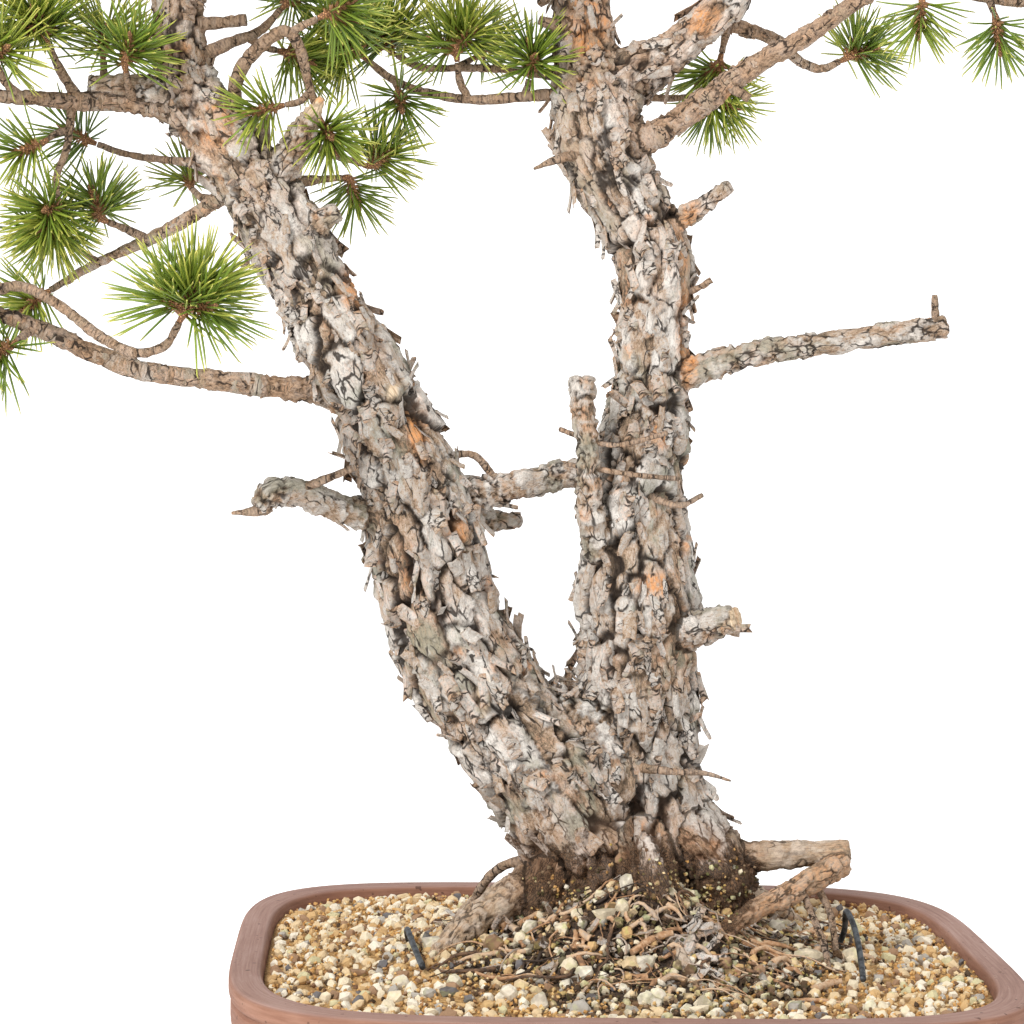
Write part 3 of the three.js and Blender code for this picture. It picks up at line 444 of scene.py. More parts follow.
class Bench:
    """A tree of nodes being put together, for a material or for a shape."""

    def __init__(self, tree: bpy.types.NodeTree) -> None:
        """Starts on a tree."""
        self.tree = tree

    def node(
        self, kind: str, settings: Mapping[str, object] | None = None,
        inputs: Mapping[int | str, object] | None = None,
    ) -> Node:
        """Adds a node.

        Args:
            kind: The node's type.
            settings: Its settings, and under "stops" a ramp's places and colours.
            inputs: A value, a socket or a Value for each input, by name or number.

        Returns:
            The node.
        """
        made = self.tree.nodes.new(kind)
        for name, value in (settings or {}).items():
            if name == "stops":
                self._set_stops(made, value)
            else:
                setattr(made, name, value)
        for key, value in (inputs or {}).items():
            socket = made.inputs[key]
            if isinstance(value, Value):
                value = value.socket
            if isinstance(value, Socket):
                self.tree.links.new(value, socket)
            elif socket.type == "RGBA":
                socket.default_value = (*tuple(value)[:3], 1.0)
            else:
                socket.default_value = value
        return made

    @staticmethod
    def _set_stops(ramp: Node, stops: Sequence[tuple[float, Colour]]) -> None:
        """Sets a ramp's places and colours.

        Args:
            ramp: The ramp's node.
            stops: Each stop's place and colour.
        """
        elements = ramp.color_ramp.elements
        while len(elements) < len(stops):
            elements.new(1.0)
        for element, (place, colour) in zip(elements, stops):
            element.position = place
            element.color = (*colour, 1.0)

    def value(self, node: Node, output: int | str = 0) -> "Value":
        """An output of a node as a Value."""
        return Value(self, node.outputs[output])

    def attribute(self, name: str) -> "Value":
        """A number stored on the mesh's corners."""
        return self.value(self.node("ShaderNodeAttribute", {"attribute_name": name}), "Fac")

    def place(self, name: str | None = None, stretch: Place = (1, 1, 1)) -> Socket:
        """Coordinates for a pattern.

        Args:
            name: A vector stored on the mesh, or the piece's own coordinates.
            stretch: How much closer the pattern gets along each axis.

        Returns:
            The socket of the stretched coordinates.
        """
        if name:
            source = self.node("ShaderNodeAttribute", {"attribute_name": name}).outputs["Vector"]
        else:
            source = self.node("ShaderNodeTexCoord").outputs["Object"]
        turned = self.node("ShaderNodeMapping", None, {"Vector": source, "Scale": stretch})
        return turned.outputs[0]

    def noise(self, where: Socket, scale: float, detail: float = 3.0) -> "Value":
        """Soft noise from 0 to 1, at a scale and with finer noise on it."""
        inputs = {"Vector": where, "Scale": scale, "Detail": detail, "Roughness": 0.6}
        return self.value(self.node("ShaderNodeTexNoise", None, inputs), 0)

    def stirred(self, where: Socket, scale: float, reach: float) -> Socket:
        """Coordinates pushed about by noise, so that a pattern read with them gets ragged.

        Args:
            where: The coordinates.
            scale: How close the noise is.
            reach: How far it pushes.

        Returns:
            The socket of the new coordinates.
        """
        push = self.node("ShaderNodeTexNoise", None, {"Vector": where, "Scale": scale, "Detail": 2.0})
        centred = self.node(
            "ShaderNodeVectorMath", {"operation": "SUBTRACT"}, {0: push.outputs["Color"], 1: (0.5,) * 3}
        )
        inputs = {0: centred.outputs[0], 1: (reach,) * 3, 2: where}
        return self.node("ShaderNodeVectorMath", {"operation": "MULTIPLY_ADD"}, inputs).outputs[0]

    def scales(self, where: Socket, scale: float) -> tuple["Value", "Value"]:
        """A pattern of scales: a share that each scale has to itself, and the way to its border.

        Args:
            where: The coordinates.
            scale: How close the pattern is.

        Returns:
            The share from 0 to 1, and the way to the border, 0 there.
        """
        own = self.node("ShaderNodeTexVoronoi", None, {"Vector": where, "Scale": scale})
        parts = self.node("ShaderNodeSeparateColor", None, {0: own.outputs["Color"]})
        border = self.node(
            "ShaderNodeTexVoronoi", {"feature": "DISTANCE_TO_EDGE"}, {"Vector": where, "Scale": scale}
        )
        return self.value(parts, 0), self.value(border, 0)

    def ramp(self, share: "Value", stops: Sequence[tuple[float, Colour]]) -> Socket:
        """A colour picked from a ramp by a share."""
        return self.node("ShaderNodeValToRGB", {"stops": stops}, {0: share}).outputs[0]

    def mix(self, share: object, first: object, second: object) -> Socket:
        """A colour between two others."""
        made = self.node("ShaderNodeMix", {"data_type": "RGBA"}, {0: share, 6: first, 7: second})
        return made.outputs[2]


class Value:
    """A number in a tree of nodes that can be written in sums."""

    def __init__(self, bench: Bench, socket: Socket) -> None:
        """Wraps a socket."""
        self.bench = bench
        self.socket = socket

    def _sum(self, operation: str, first: object, second: object = 0.0) -> "Value":
        """Adds a Math node for one step of a sum."""
        made = self.bench.node("ShaderNodeMath", {"operation": operation}, {0: first, 1: second})
        return Value(self.bench, made.outputs[0])

    def __add__(self, other: object) -> "Value":
        """self + other"""
        return self._sum("ADD", self, other)

    def __radd__(self, other: object) -> "Value":
        """other + self"""
        return self._sum("ADD", other, self)

    def __sub__(self, other: object) -> "Value":
        """self - other"""
        return self._sum("SUBTRACT", self, other)

    def __rsub__(self, other: object) -> "Value":
        """other - self"""
        return self._sum("SUBTRACT", other, self)

    def __mul__(self, other: object) -> "Value":
        """self * other"""
        return self._sum("MULTIPLY", self, other)

    def __rmul__(self, other: object) -> "Value":
        """other * self"""
        return self._sum("MULTIPLY", other, self)

    def fraction(self) -> "Value":
        """What is left above the whole number below."""
        return self._sum("FRACT", self)

    def most(self, other: object) -> "Value":
        """The larger of the two."""
        return self._sum("MAXIMUM", self, other)

    def soft_step(self, low: float, high: float, end: float = 1.0) -> "Value":
        """A soft step from 0 at low to end at high."""
        inputs = {0: self, 1: low, 2: high, 3: 0.0, 4: end}
        made = self.bench.node("ShaderNodeMapRange", {"interpolation_type": "SMOOTHSTEP"}, inputs)
        return Value(self.bench, made.outputs[0])


class Finish:
    """What a surface is made of, under its material's name; each kind says how it is mixed."""

    label: str

    def material(self) -> bpy.types.Material:
        """The finish as a material, made once.

        Returns:
            The material.
        """
        found = bpy.data.materials.get(self.label)
        if found:
            return found
        made = bpy.data.materials.new(self.label)
        made.use_nodes = True
        self.mix_into(Bench(made.node_tree), made.node_tree.nodes["Principled BSDF"])
        return made

    def mix_into(self, bench: Bench, shader: Node) -> None:
        """Links the finish's patterns to the shader.

        Args:
            bench: The material's bench.
            shader: Its shader node.
        """
        raise NotImplementedError

    def dress(self, piece: Piece) -> Piece:
        """Gives the whole piece this finish."""
        piece.data.materials.clear()
        piece.data.materials.append(self.material())
        return piece

    @staticmethod
    def connect(
        bench: Bench, shader: Node, colour: Socket, roughness: object, height: "Value | None" = None,
        depth: float = 0.001, gloss: float | None = None,
    ) -> None:
        """Feeds colour, roughness and relief to the shader.

        Args:
            bench: The material's bench.
            shader: Its shader node.
            colour: The colour's socket.
            roughness: A number or a Value.
            height: Relief from 0 to 1, if there is any.
            depth: How far the relief stands out, in metres.
            gloss: How strongly the surface mirrors, if not as usual.
        """
        bench.tree.links.new(colour, shader.inputs["Base Color"])
        if isinstance(roughness, Value):
            bench.tree.links.new(roughness.socket, shader.inputs["Roughness"])
        else:
            shader.inputs["Roughness"].default_value = roughness
        if height is not None:
            bump = bench.node("ShaderNodeBump", None, {"Distance": depth, "Height": height})
            bench.tree.links.new(bump.outputs[0], shader.inputs["Normal"])
        if gloss is not None:
            shader.inputs["Specular IOR Level"].default_value = gloss


@dataclass(frozen=True)
class BarkFinish(Finish):
    """Pine bark in thin layers, with painted shade in its cracks, orange breaks, lichen and bare dead wood.

    Attributes:
        crack: The painted shade deep in a crack, along flake borders, under layer steps and in pits.
        layers: Colours that the layers take, from dark to pale.
        upper: Colour of the thinner bark high up.
        broken: Colour of a fresh break.
        lichen: Colour of the grey-green growth.
        bare: Colour of bare dead wood.
        twig: Colours of thin young bark.
        rusty: Colour of the damp bark low down.
        soil: Colours of the soil that clings to the foot, dark enough to paint the shade there as well.
        depth: How far the relief stands out, in metres.
    """

    label: str = "pine_bark"
    crack: Colour = (0.018, 0.012, 0.009)
    layers: tuple[Colour, ...] = (
        (0.11, 0.08, 0.055), (0.35, 0.24, 0.155), (0.46, 0.37, 0.295), (0.47, 0.43, 0.385),
        (0.68, 0.635, 0.58),
    )
    upper: Colour = (0.53, 0.34, 0.225)
    broken: Colour = (0.64, 0.29, 0.11)
    lichen: Colour = (0.26, 0.25, 0.18)
    bare: Colour = (0.6, 0.45, 0.3)
    twig: tuple[Colour, Colour] = ((0.12, 0.07, 0.04), (0.41, 0.265, 0.165))
    rusty: Colour = (0.4, 0.2, 0.1)
    soil: tuple[Colour, Colour] = ((0.018, 0.011, 0.007), (0.15, 0.08, 0.04))
    depth: float = 0.0075

    def mix_into(self, bench: Bench, shader: Node) -> None:
        """Colours each flake by its own share and paints shade into the cracks, borders and steps between
        them.
        """
        where = bench.place("grain", (1, 1, 0.5))
        ragged = bench.stirred(bench.stirred(where, 0.09, 9.0), 0.5, 2.2)
        broad = bench.noise(where, 0.05, 2)
        coarse = bench.noise(where, 0.13, 3)
        fine = bench.noise(where, 0.8, 3)
        grit = bench.noise(where, 2.6, 2)
        bare = bench.attribute("bare")
        relief = bench.attribute("relief")
        tint = bench.attribute("tint")
        flake, flake_border = bench.scales(ragged, 0.17)
        chip, chip_border = bench.scales(ragged, 0.42)
        # The relief term is painted shade as well as layer colour: low places and cracks take the darker
        # layers.
        share = 0.42 * relief + 0.2 * flake + 0.14 * chip + 0.6 * fine
        share = share + 0.55 * grit + 0.55 * coarse + 0.3 * tint
        stops = list(zip((0.1, 0.3, 0.43, 0.57, 0.85), self.layers))
        colour = bench.ramp(share - 0.885, stops)
        rust = fine.soft_step(0.42, 0.66, 0.6) * broad.soft_step(0.42, 0.6) * (1.15 - relief)
        colour = bench.mix(rust, colour, (0.6, 0.32, 0.18))
        growth = bench.noise(bench.place("grain", (1, 1, 0.7)), 0.04, 3).soft_step(0.48, 0.62, 0.72)
        colour = bench.mix(growth * coarse.soft_step(0.38, 0.56), colour, self.lichen)
        place = bench.node("ShaderNodeSeparateXYZ", None, {0: bench.place()})
        high = bench.value(place, "Z").soft_step(0.36, 0.56, 0.5) * coarse.soft_step(0.38, 0.6)
        colour = bench.mix(high, colour, self.upper)
        thin = bench.mix(fine.soft_step(0.3, 0.68), *self.twig)
        colour = bench.mix(bench.attribute("young") * 0.85, colour, thin)
        grained = bench.noise(bench.place("grain", (1, 1, 0.05)), 0.9, 3)
        dead = bench.ramp(grained, [(0.3, (0.3, 0.2, 0.12)), (0.5, self.bare), (0.75, (0.72, 0.6, 0.44))])
        colour = bench.mix(bare, colour, dead)
        broken = bench.attribute("broken") * fine.soft_step(0.25, 0.62) * (1.2 - 0.5 * coarse)
        colour = bench.mix(broken, colour, self.broken)
        weight = bench.noise(where, 0.11, 2).soft_step(0.4, 0.66)
        # Painted shade: dark lines along flake and chip borders, under each layer's step, in pits and deep
        # in cracks, all mixed towards the crack colour.
        line = (1.0 - (flake_border - 0.025 * weight).soft_step(0.0, 0.07)) * weight.soft_step(0.1, 0.7)
        chip_border_shade = (1.0 - chip_border.soft_step(0.0, 0.08)) * coarse.soft_step(0.46, 0.66, 0.45)
        edge = bench.attribute("edge")
        step_shadow = (edge * 8.0 + 2.0 * coarse + 1.2 * fine).fraction()
        step_shadow = (1.0 - step_shadow.soft_step(0.05, 0.32)) * (1.0 - edge.soft_step(0.12, 0.3)) * (1.0 - weight * 0.8)
        crack_shade = 1.0 - (edge + 0.16 * (0.5 - fine)).soft_step(0.05, 0.19)
        pit_shade = 1.0 - (0.5 * fine + 0.5 * grit).soft_step(0.33, 0.43)
        dark = crack_shade.most(line).most(chip_border_shade).most(step_shadow * 0.62).most(pit_shade * 0.7) * (1.0 - 0.55 * bare)
        colour = bench.mix(dark * 0.92, colour, self.crack)
        # At the trunks' foot the colour is near-black: clinging soil and painted shade together.
        soiled = bench.attribute("soiled")
        earth = bench.mix(grit.soft_step(0.42, 0.64), *self.soil)
        cover = (soiled + 1.3 * (coarse - 0.5) + 0.9 * (fine - 0.5)).soft_step(0.28, 0.6, 0.92)
        colour = bench.mix(cover, bench.mix(soiled * 0.6, colour, self.rusty), earth)
        height = (0.28 * flake + 0.15 * fine + 0.06 * grit) * (1.0 - 0.85 * bare)
        self.connect(bench, shader, colour, 0.72 + 0.25 * fine, height, self.depth, 0.25)


@dataclass(frozen=True)
class NeedleFinish(Finish):
    """Pine needles: brown sheath, green blade, yellow point, each pair a little its own."""

    label: str = "pine_needle"
    blade: tuple[Colour, ...] = ((0.1, 0.165, 0.018), (0.19, 0.26, 0.028), (0.38, 0.4, 0.06))
    point: Colour = (0.66, 0.58, 0.14)
    sheath: Colour = (0.3, 0.15, 0.06)

    def mix_into(self, bench: Bench, shader: Node) -> None:
        """Colours a needle along its length."""
        up = bench.attribute("length_share")
        own = bench.attribute("tint")
        stops = [(0.15 + 0.35 * i, colour) for i, colour in enumerate(self.blade)]
        colour = bench.ramp(own * 0.75 + 0.3 * up, stops)
        colour = bench.mix(up.soft_step(0.72, 1.0, 0.8), colour, self.point)
        colour = bench.mix(1.0 - up.soft_step(0.03, 0.16), colour, self.sheath)
        self.connect(bench, shader, colour, 0.42, gloss=0.4)


@dataclass(frozen=True)
class ShootFinish(Finish):
    """The scaly stem that the needles stand on."""

    label: str = "shoot_scales"
    dark: Colour = (0.16, 0.07, 0.03)
    pale: Colour = (0.58, 0.29, 0.13)

    def mix_into(self, bench: Bench, shader: Node) -> None:
        """Speckles the stem with scales."""
        inputs = {"Vector": bench.place(), "Scale": 900.0}
        scale = bench.node("ShaderNodeTexVoronoi", {"feature": "DISTANCE_TO_EDGE"}, inputs)
        share = bench.value(scale, 0).soft_step(0.02, 0.3)
        colour = bench.mix(share, self.dark, self.pale)
        self.connect(bench, shader, colour, 0.7, share, 0.0004)


@dataclass(frozen=True)
class StonewareFinish(Finish):
    """Unglazed reddish stoneware, brushed along its length, with a few specks.

    Attributes:
        wall: Colours of the wall, dark to pale.
        rim: Colours of the rim's top: its brushed clay, paler than the wall as painted light on the upward
            face.
        specks: How close the dark and the pale specks are, how they fade in, and their colours.
    """

    label: str = "unglazed_stoneware"
    wall: tuple[Colour, ...] = ((0.14, 0.06, 0.038), (0.23, 0.107, 0.067), (0.33, 0.175, 0.118))
    rim: tuple[Colour, ...] = ((0.2, 0.105, 0.08), (0.29, 0.17, 0.135), (0.38, 0.25, 0.21))
    specks: tuple[tuple[float, Place, Colour], ...] = (
        (260.0, (0.7, 0.76, 0.75), (0.07, 0.03, 0.02)), (330.0, (0.74, 0.8, 0.5), (0.45, 0.33, 0.27)),
    )

    def mix_into(self, bench: Bench, shader: Node) -> None:
        """Streaks the wall sideways and the rim along its run."""
        broad = bench.noise(bench.place(), 14.0, 4)
        brushed = bench.noise(bench.place(None, (1, 1, 14)), 45.0, 5)
        drawn = bench.noise(bench.place("brush", (1, 1, 1)), 1.0, 5)
        grit = bench.noise(bench.place(), 900.0, 2)
        share = 0.5 * broad + 0.5 * brushed
        wall = bench.ramp(share, [(0.3 + 0.2 * i, c) for i, c in enumerate(self.wall)])
        share = 0.35 * broad + 0.65 * drawn
        rim = bench.ramp(share, [(0.3 + 0.2 * i, c) for i, c in enumerate(self.rim)])
        # The rim's top takes paler colours than the wall: brushed clay, with painted light where it faces
        # up.
        top = bench.attribute("rim_top")
        colour = bench.mix(top, wall, rim)
        for scale, steps, speck in self.specks:
            share = bench.noise(bench.place(), scale, 1).soft_step(*steps)
            colour = bench.mix(share, colour, speck)
        height = 0.5 * brushed * (1.0 - top) + 0.6 * drawn * top + 0.4 * grit
        self.connect(bench, shader, colour, 0.62 + 0.25 * grit, height, 0.0004, 0.35)


@dataclass(frozen=True)
class GritFinish(Finish):
    """Loose grains, each in one of a few colours, some with green growth.

    Attributes:
        kinds: The grains' colours, and up to which share each goes.
        green: Colour of the growth.
    """

    label: str
    kinds: tuple[tuple[float, Colour], ...]
    green: Colour = (0.42, 0.45, 0.12)

    def mix_into(self, bench: Bench, shader: Node) -> None:
        """Picks each grain's colour by its share."""
        own = bench.attribute("tint")
        pick = bench.node("ShaderNodeValToRGB", {"stops": list(self.kinds)}, {0: own})
        pick.color_ramp.interpolation = "CONSTANT"
        spots = bench.noise(bench.place(), 420.0, 4)
        pores = bench.noise(bench.place(), 1500.0, 2)
        colour = bench.mix(0.45 - 0.5 * spots, pick.outputs[0], (0.16, 0.1, 0.055))
        damp = bench.attribute("damp")
        growth = bench.noise(bench.place(), 170.0, 2).soft_step(0.5, 0.62) * damp
        colour = bench.mix(growth * 0.45, colour, self.green)
        dirt = bench.noise(bench.place(), 90.0, 3).soft_step(0.46, 0.6) * damp
        colour = bench.mix(dirt * 0.75, colour, (0.035, 0.021, 0.012))
        self.connect(bench, shader, colour, 0.9, 0.6 * spots + 0.4 * pores, 0.0007, 0.2)


@dataclass(frozen=True)
class EarthFinish(Finish):
    """The fine fill under the grains: sandy at the pot's wall, dark humus at the trunks."""

    label: str = "potting_earth"
    sand: tuple[Colour, Colour] = ((0.3, 0.16, 0.055), (0.62, 0.39, 0.16))
    humus: tuple[Colour, Colour] = ((0.018, 0.011, 0.007), (0.09, 0.05, 0.027))

    def mix_into(self, bench: Bench, shader: Node) -> None:
        """Blends sand into humus towards the trunks."""
        fine = bench.noise(bench.place(), 700.0, 4)
        broad = bench.noise(bench.place(), 40.0, 3)
        share = fine.soft_step(0.35, 0.7)
        sand = bench.mix(share, *self.sand)
        humus = bench.mix(share, *self.humus)
        near = bench.attribute("damp") + 0.7 * (broad - 0.5)
        colour = bench.mix(near.soft_step(0.25, 0.6), sand, humus)
        self.connect(bench, shader, colour, 0.95, fine, 0.0012)


@dataclass(frozen=True)
class RootFinish(Finish):
    """Fine roots, orange-brown to grey."""

    label: str = "fine_root"
    hues: tuple[Colour, ...] = (
        (0.035, 0.02, 0.012), (0.15, 0.08, 0.042), (0.38, 0.2, 0.095), (0.55, 0.38, 0.24),
        (0.34, 0.27, 0.22),
    )

    def mix_into(self, bench: Bench, shader: Node) -> None:
        """Gives each root its hue and a fibrous streak."""
        fibre = bench.noise(bench.place(), 380.0, 4)
        share = bench.attribute("tint") + 0.9 * (fibre - 0.5)
        colour = bench.ramp(share, [(0.12 + 0.21 * i, c) for i, c in enumerate(self.hues)])
        self.connect(bench, shader, colour, 0.8, fibre, 0.0005)


@dataclass(frozen=True)
class MottledFinish(Finish):
    """A dull plain surface, mottled by weather or dust.

    Attributes:
        low: Colour where the noise is low.
        high: Colour where it is high.
        scale: How close the noise is.
        steps: Where the noise turns from low to high.
        rough: The least roughness, and how much the noise adds to it.
        metal: How metallic it is.
    """

    label: str
    low: Colour
    high: Colour
    scale: float
    steps: tuple[float, float]
    rough: tuple[float, float]
    metal: float = 0.0

    def mix_into(self, bench: Bench, shader: Node) -> None:
        """Mottles the surface."""
        stains = bench.noise(bench.place(), self.scale, 4)
        colour = bench.mix(stains.soft_step(*self.steps), self.low, self.high)
        self.connect(bench, shader, colour, self.rough[0] + self.rough[1] * stains, stains, 0.0003)
        shader.inputs["Metallic"].default_value = self.metal


WIRE_METAL = MottledFinish(
    "tie_wire_metal", (0.03, 0.032, 0.035), (0.1, 0.11, 0.12), 260.0, (0.42, 0.6), (0.4, 0.35), 0.55
)
NET_PLASTIC = MottledFinish(
    "drain_net_plastic", (0.012, 0.015, 0.015), (0.09, 0.07, 0.05), 180.0, (0.5, 0.7), (0.45, 0.4)
)


@dataclass(frozen=True)
class StudioFinish(Finish):
    """The plain pale floor and the backdrop.

    Attributes:
        pale: Its colour.
        gloss: How strongly it mirrors.
        light: Colour of the light of its own.
        glow: How much of that light it gives.
    """

    label: str = "studio_floor"
    pale: Colour = (0.93, 0.93, 0.93)
    gloss: float = 0.5
    light: Colour = (0.93, 0.93, 0.93)
    glow: float = 0.45

    def mix_into(self, bench: Bench, shader: Node) -> None:
        """Sets the one colour, and a little light of its own so that it stays white in the shade."""
        shader.inputs["Base Color"].default_value = (*self.pale, 1.0)
        shader.inputs["Roughness"].default_value = 0.9
        shader.inputs["Specular IOR Level"].default_value = self.gloss
        shader.inputs["Emission Color"].default_value = (*self.light, 1.0)
        shader.inputs["Emission Strength"].default_value = self.glow


# Sizes shared with the part. Each point is x, y and z in millimetres from the pot's middle on the
# ground, and then the limb's radius there.

# The two trunks and the right one's fork.
TRUNKS: tuple[tuple[Place, ...], ...] = (
    (
        (-6, -4, 72, 34), (-9, -5, 116, 33), (-15, -4, 143, 33), (-29, -4, 170, 32), (-50, -3, 196, 30),
        (-70, -4, 222, 29), (-84, -6, 247, 28), (-95, -8, 272, 28), (-100, -10, 294, 29),
        (-105, -11, 316, 27), (-114, -13, 343, 24), (-127, -14, 365, 22), (-137, -14, 384, 22),
        (-149, -11, 406, 20), (-160, -8, 425, 19.5), (-169, -4, 445, 20), (-181, -2, 464, 20),
        (-196, 1, 484, 19), (-210, 3, 503, 17), (-220, 5, 522, 15), (-223, 6, 544, 14),
        (-224, 8, 567, 13), (-228, 10, 592, 11), (-238, 13, 620, 9), (-246, 14, 645, 6.5),
        (-250, 12, 665, 3.5),
    ),
    (
        (16, 6, 72, 35), (19, 7, 114, 34), (20, 7, 142, 33), (16, 5, 172, 29), (10, 4, 200, 28),
        (8, 2, 228, 30), (8, 0, 253, 30), (5, 0, 280, 28), (4, 2, 307, 26), (6, 4, 332, 24),
        (10, 6, 354, 22), (12, 7, 377, 19), (13, 9, 399, 18), (14, 11, 422, 18), (12, 13, 442, 19),
        (4, 16, 461, 18.5), (-6, 18, 477, 20), (-13, 21, 496, 22), (-18, 23, 516, 21),
        (-22, 25, 536, 17.5), (-23, 27, 556, 16), (-25, 29, 579, 15), (-22, 30, 605, 13),
        (-13, 28, 635, 11), (-8, 23, 662, 9), (-3, 18, 690, 7), (2, 15, 715, 4),
    ),
    (
        (-14, 22, 508, 17), (0, 24, 530, 14), (16, 23, 537, 12), (30, 20, 549, 10), (45, 17, 562, 9.5),
        (56, 15, 580, 9), (68, 12, 602, 8), (82, 8, 628, 6.5), (90, 2, 655, 5), (94, -4, 678, 3),
    ),
)

# The crotch, the collar at the soil and the roots.
ROOTS: tuple[tuple[Place, ...], ...] = (
    ((-26, -6, 148, 20), (-8, -6, 180, 22), (-16, -4, 206, 17), (-26, -3, 222, 9)),
    ((10, 2, 178, 18), (32, -2, 150, 23), (48, -4, 128, 22), (52, -4, 96, 16)),
    ((-20, -14, 150, 18), (-32, -16, 128, 18), (-36, -14, 100, 14)),
    ((8, -22, 150, 16), (12, -34, 126, 17), (12, -34, 98, 13)),
    ((4, 22, 156, 16), (4, 36, 128, 17), (4, 44, 96, 12)),
    ((42, -4, 140, 10), (66, -6, 141, 8), (90, -10, 143, 7), (114, -14, 145, 7)),
    ((110, -18, 140, 6), (94, -30, 134, 7), (74, -40, 126, 6), (56, -48, 118, 5), (42, -54, 106, 4)),
    ((96, -28, 133, 3.5), (101, -32, 124, 3), (103, -36, 113, 3), (104, -42, 97, 2.5)),
    ((88, -34, 132, 3.5), (92, -42, 121, 3), (96, -50, 110, 3), (98, -58, 96, 2.5)),
    ((-34, -8, 132, 12), (-52, -16, 123, 10), (-70, -26, 113, 9), (-84, -34, 103, 7), (-94, -42, 90, 5)),
    ((-36, 0, 137, 4), (-56, 4, 134, 2.5), (-68, 8, 122, 2.5), (-74, 12, 106, 2.5)),
    ((-14, -34, 126, 7), (-26, -48, 118, 5.5), (-38, -60, 109, 4.5), (-48, -70, 94, 3.5)),
    ((14, -40, 124, 8), (20, -58, 116, 6.5), (24, -78, 108, 6), (30, -98, 99, 5), (36, -112, 88, 4)),
    ((40, 18, 126, 8), (62, 36, 118, 7), (84, 54, 106, 6), (102, 68, 92, 4)),
    ((-12, 16, 130, 10), (-44, 50, 116, 7), (-66, 68, 104, 5), (-80, 80, 90, 4)),
)

# Stubs, dead wood and twigs that carry no needles.
STUBS: tuple[tuple[Place, ...], ...] = (
    (
        (-108, -6, 305, 10), (-140, -25, 312, 7.5), (-159, -34, 319, 7), (-173, -40, 319, 8),
        (-180, -43, 313, 5.5),
    ),
    ((-174, -40, 313, 4), (-181, -43, 311, 2.5), (-192, -45, 310, 0.8)),
    ((-162, -36, 320, 2.6), (-147, -43, 327, 2), (-135, -39, 332, 1.8)),
    ((-101, -10, 312, 13), (-77, -9, 319, 9.5), (-57, -6, 323, 7.5), (-40, -2, 327, 7), (-12, 2, 332, 9)),
    ((-88, 0, 313, 7), (-66, 11, 306, 5.2), (-51, 14, 306, 4.5)),
    ((-96, -5, 328, 3), (-86, -8, 338, 2), (-75, -8, 338, 2), (-64, -7, 325, 2.2)),
    (
        (-12, -12, 292, 9), (-19, -23, 316, 7), (-21, -27, 342, 5.4), (-23, -26, 361, 6.6),
        (-24, -26, 378, 6.2),
    ),
    ((8, -5, 246, 13), (31, -17, 254, 9.5), (42, -25, 258, 7.8), (53, -32, 261, 7.4)),
    (
        (12, 4, 372, 10), (35, -1, 382, 7.6), (59, -7, 390, 6.5), (93, -12, 396, 6), (127, -15, 401, 6),
        (156, -16, 406, 6.4),
    ),
    ((150, -16, 404, 2.4), (149, -16, 421, 1.6)), ((14, 13, 450, 7), (37, 6, 464, 4.6), (49, 1, 474, 4)),
    ((22, 8, 418, 2.4), (35, 3, 423, 1.8), (41, 2, 427, 2)),
    ((-22, 12, 489, 3.4), (-39, 5, 484, 2), (-48, 4, 480, 0.7)),
    ((43, 3, 523, 3.2), (51, -2, 520, 3), (57, -4, 516, 2.5)),
    ((-218, 2, 512, 8), (-248, -4, 516, 5.4), (-266, -8, 516, 4)),
    ((-180, -2, 464, 13), (-168, -14, 483, 8.5), (-160, -22, 496, 6.3), (-152, -27, 510, 2.2)),
    ((-214, 2, 547, 4), (-199, -1, 548, 3), (-190, -2, 549, 2.9)),
    ((-160, -8, 443, 9), (-150, -17, 452, 6), (-143, -19, 456, 4)),
    ((-24, 18, 553, 4.5), (-38, 14, 552, 3.2), (-46, 12, 554, 2.5)),
    ((-34, -14, 352, 1.3), (-10, -29, 345, 1.4), (18, -24, 351, 1.2)),
    ((-30, -16, 335, 1.3), (0, -31, 331, 1.5), (24, -22, 329, 1.2)),
    ((2, -12, 324, 2.4), (24, -26, 316, 1.6), (36, -21, 321, 1.2)),
)

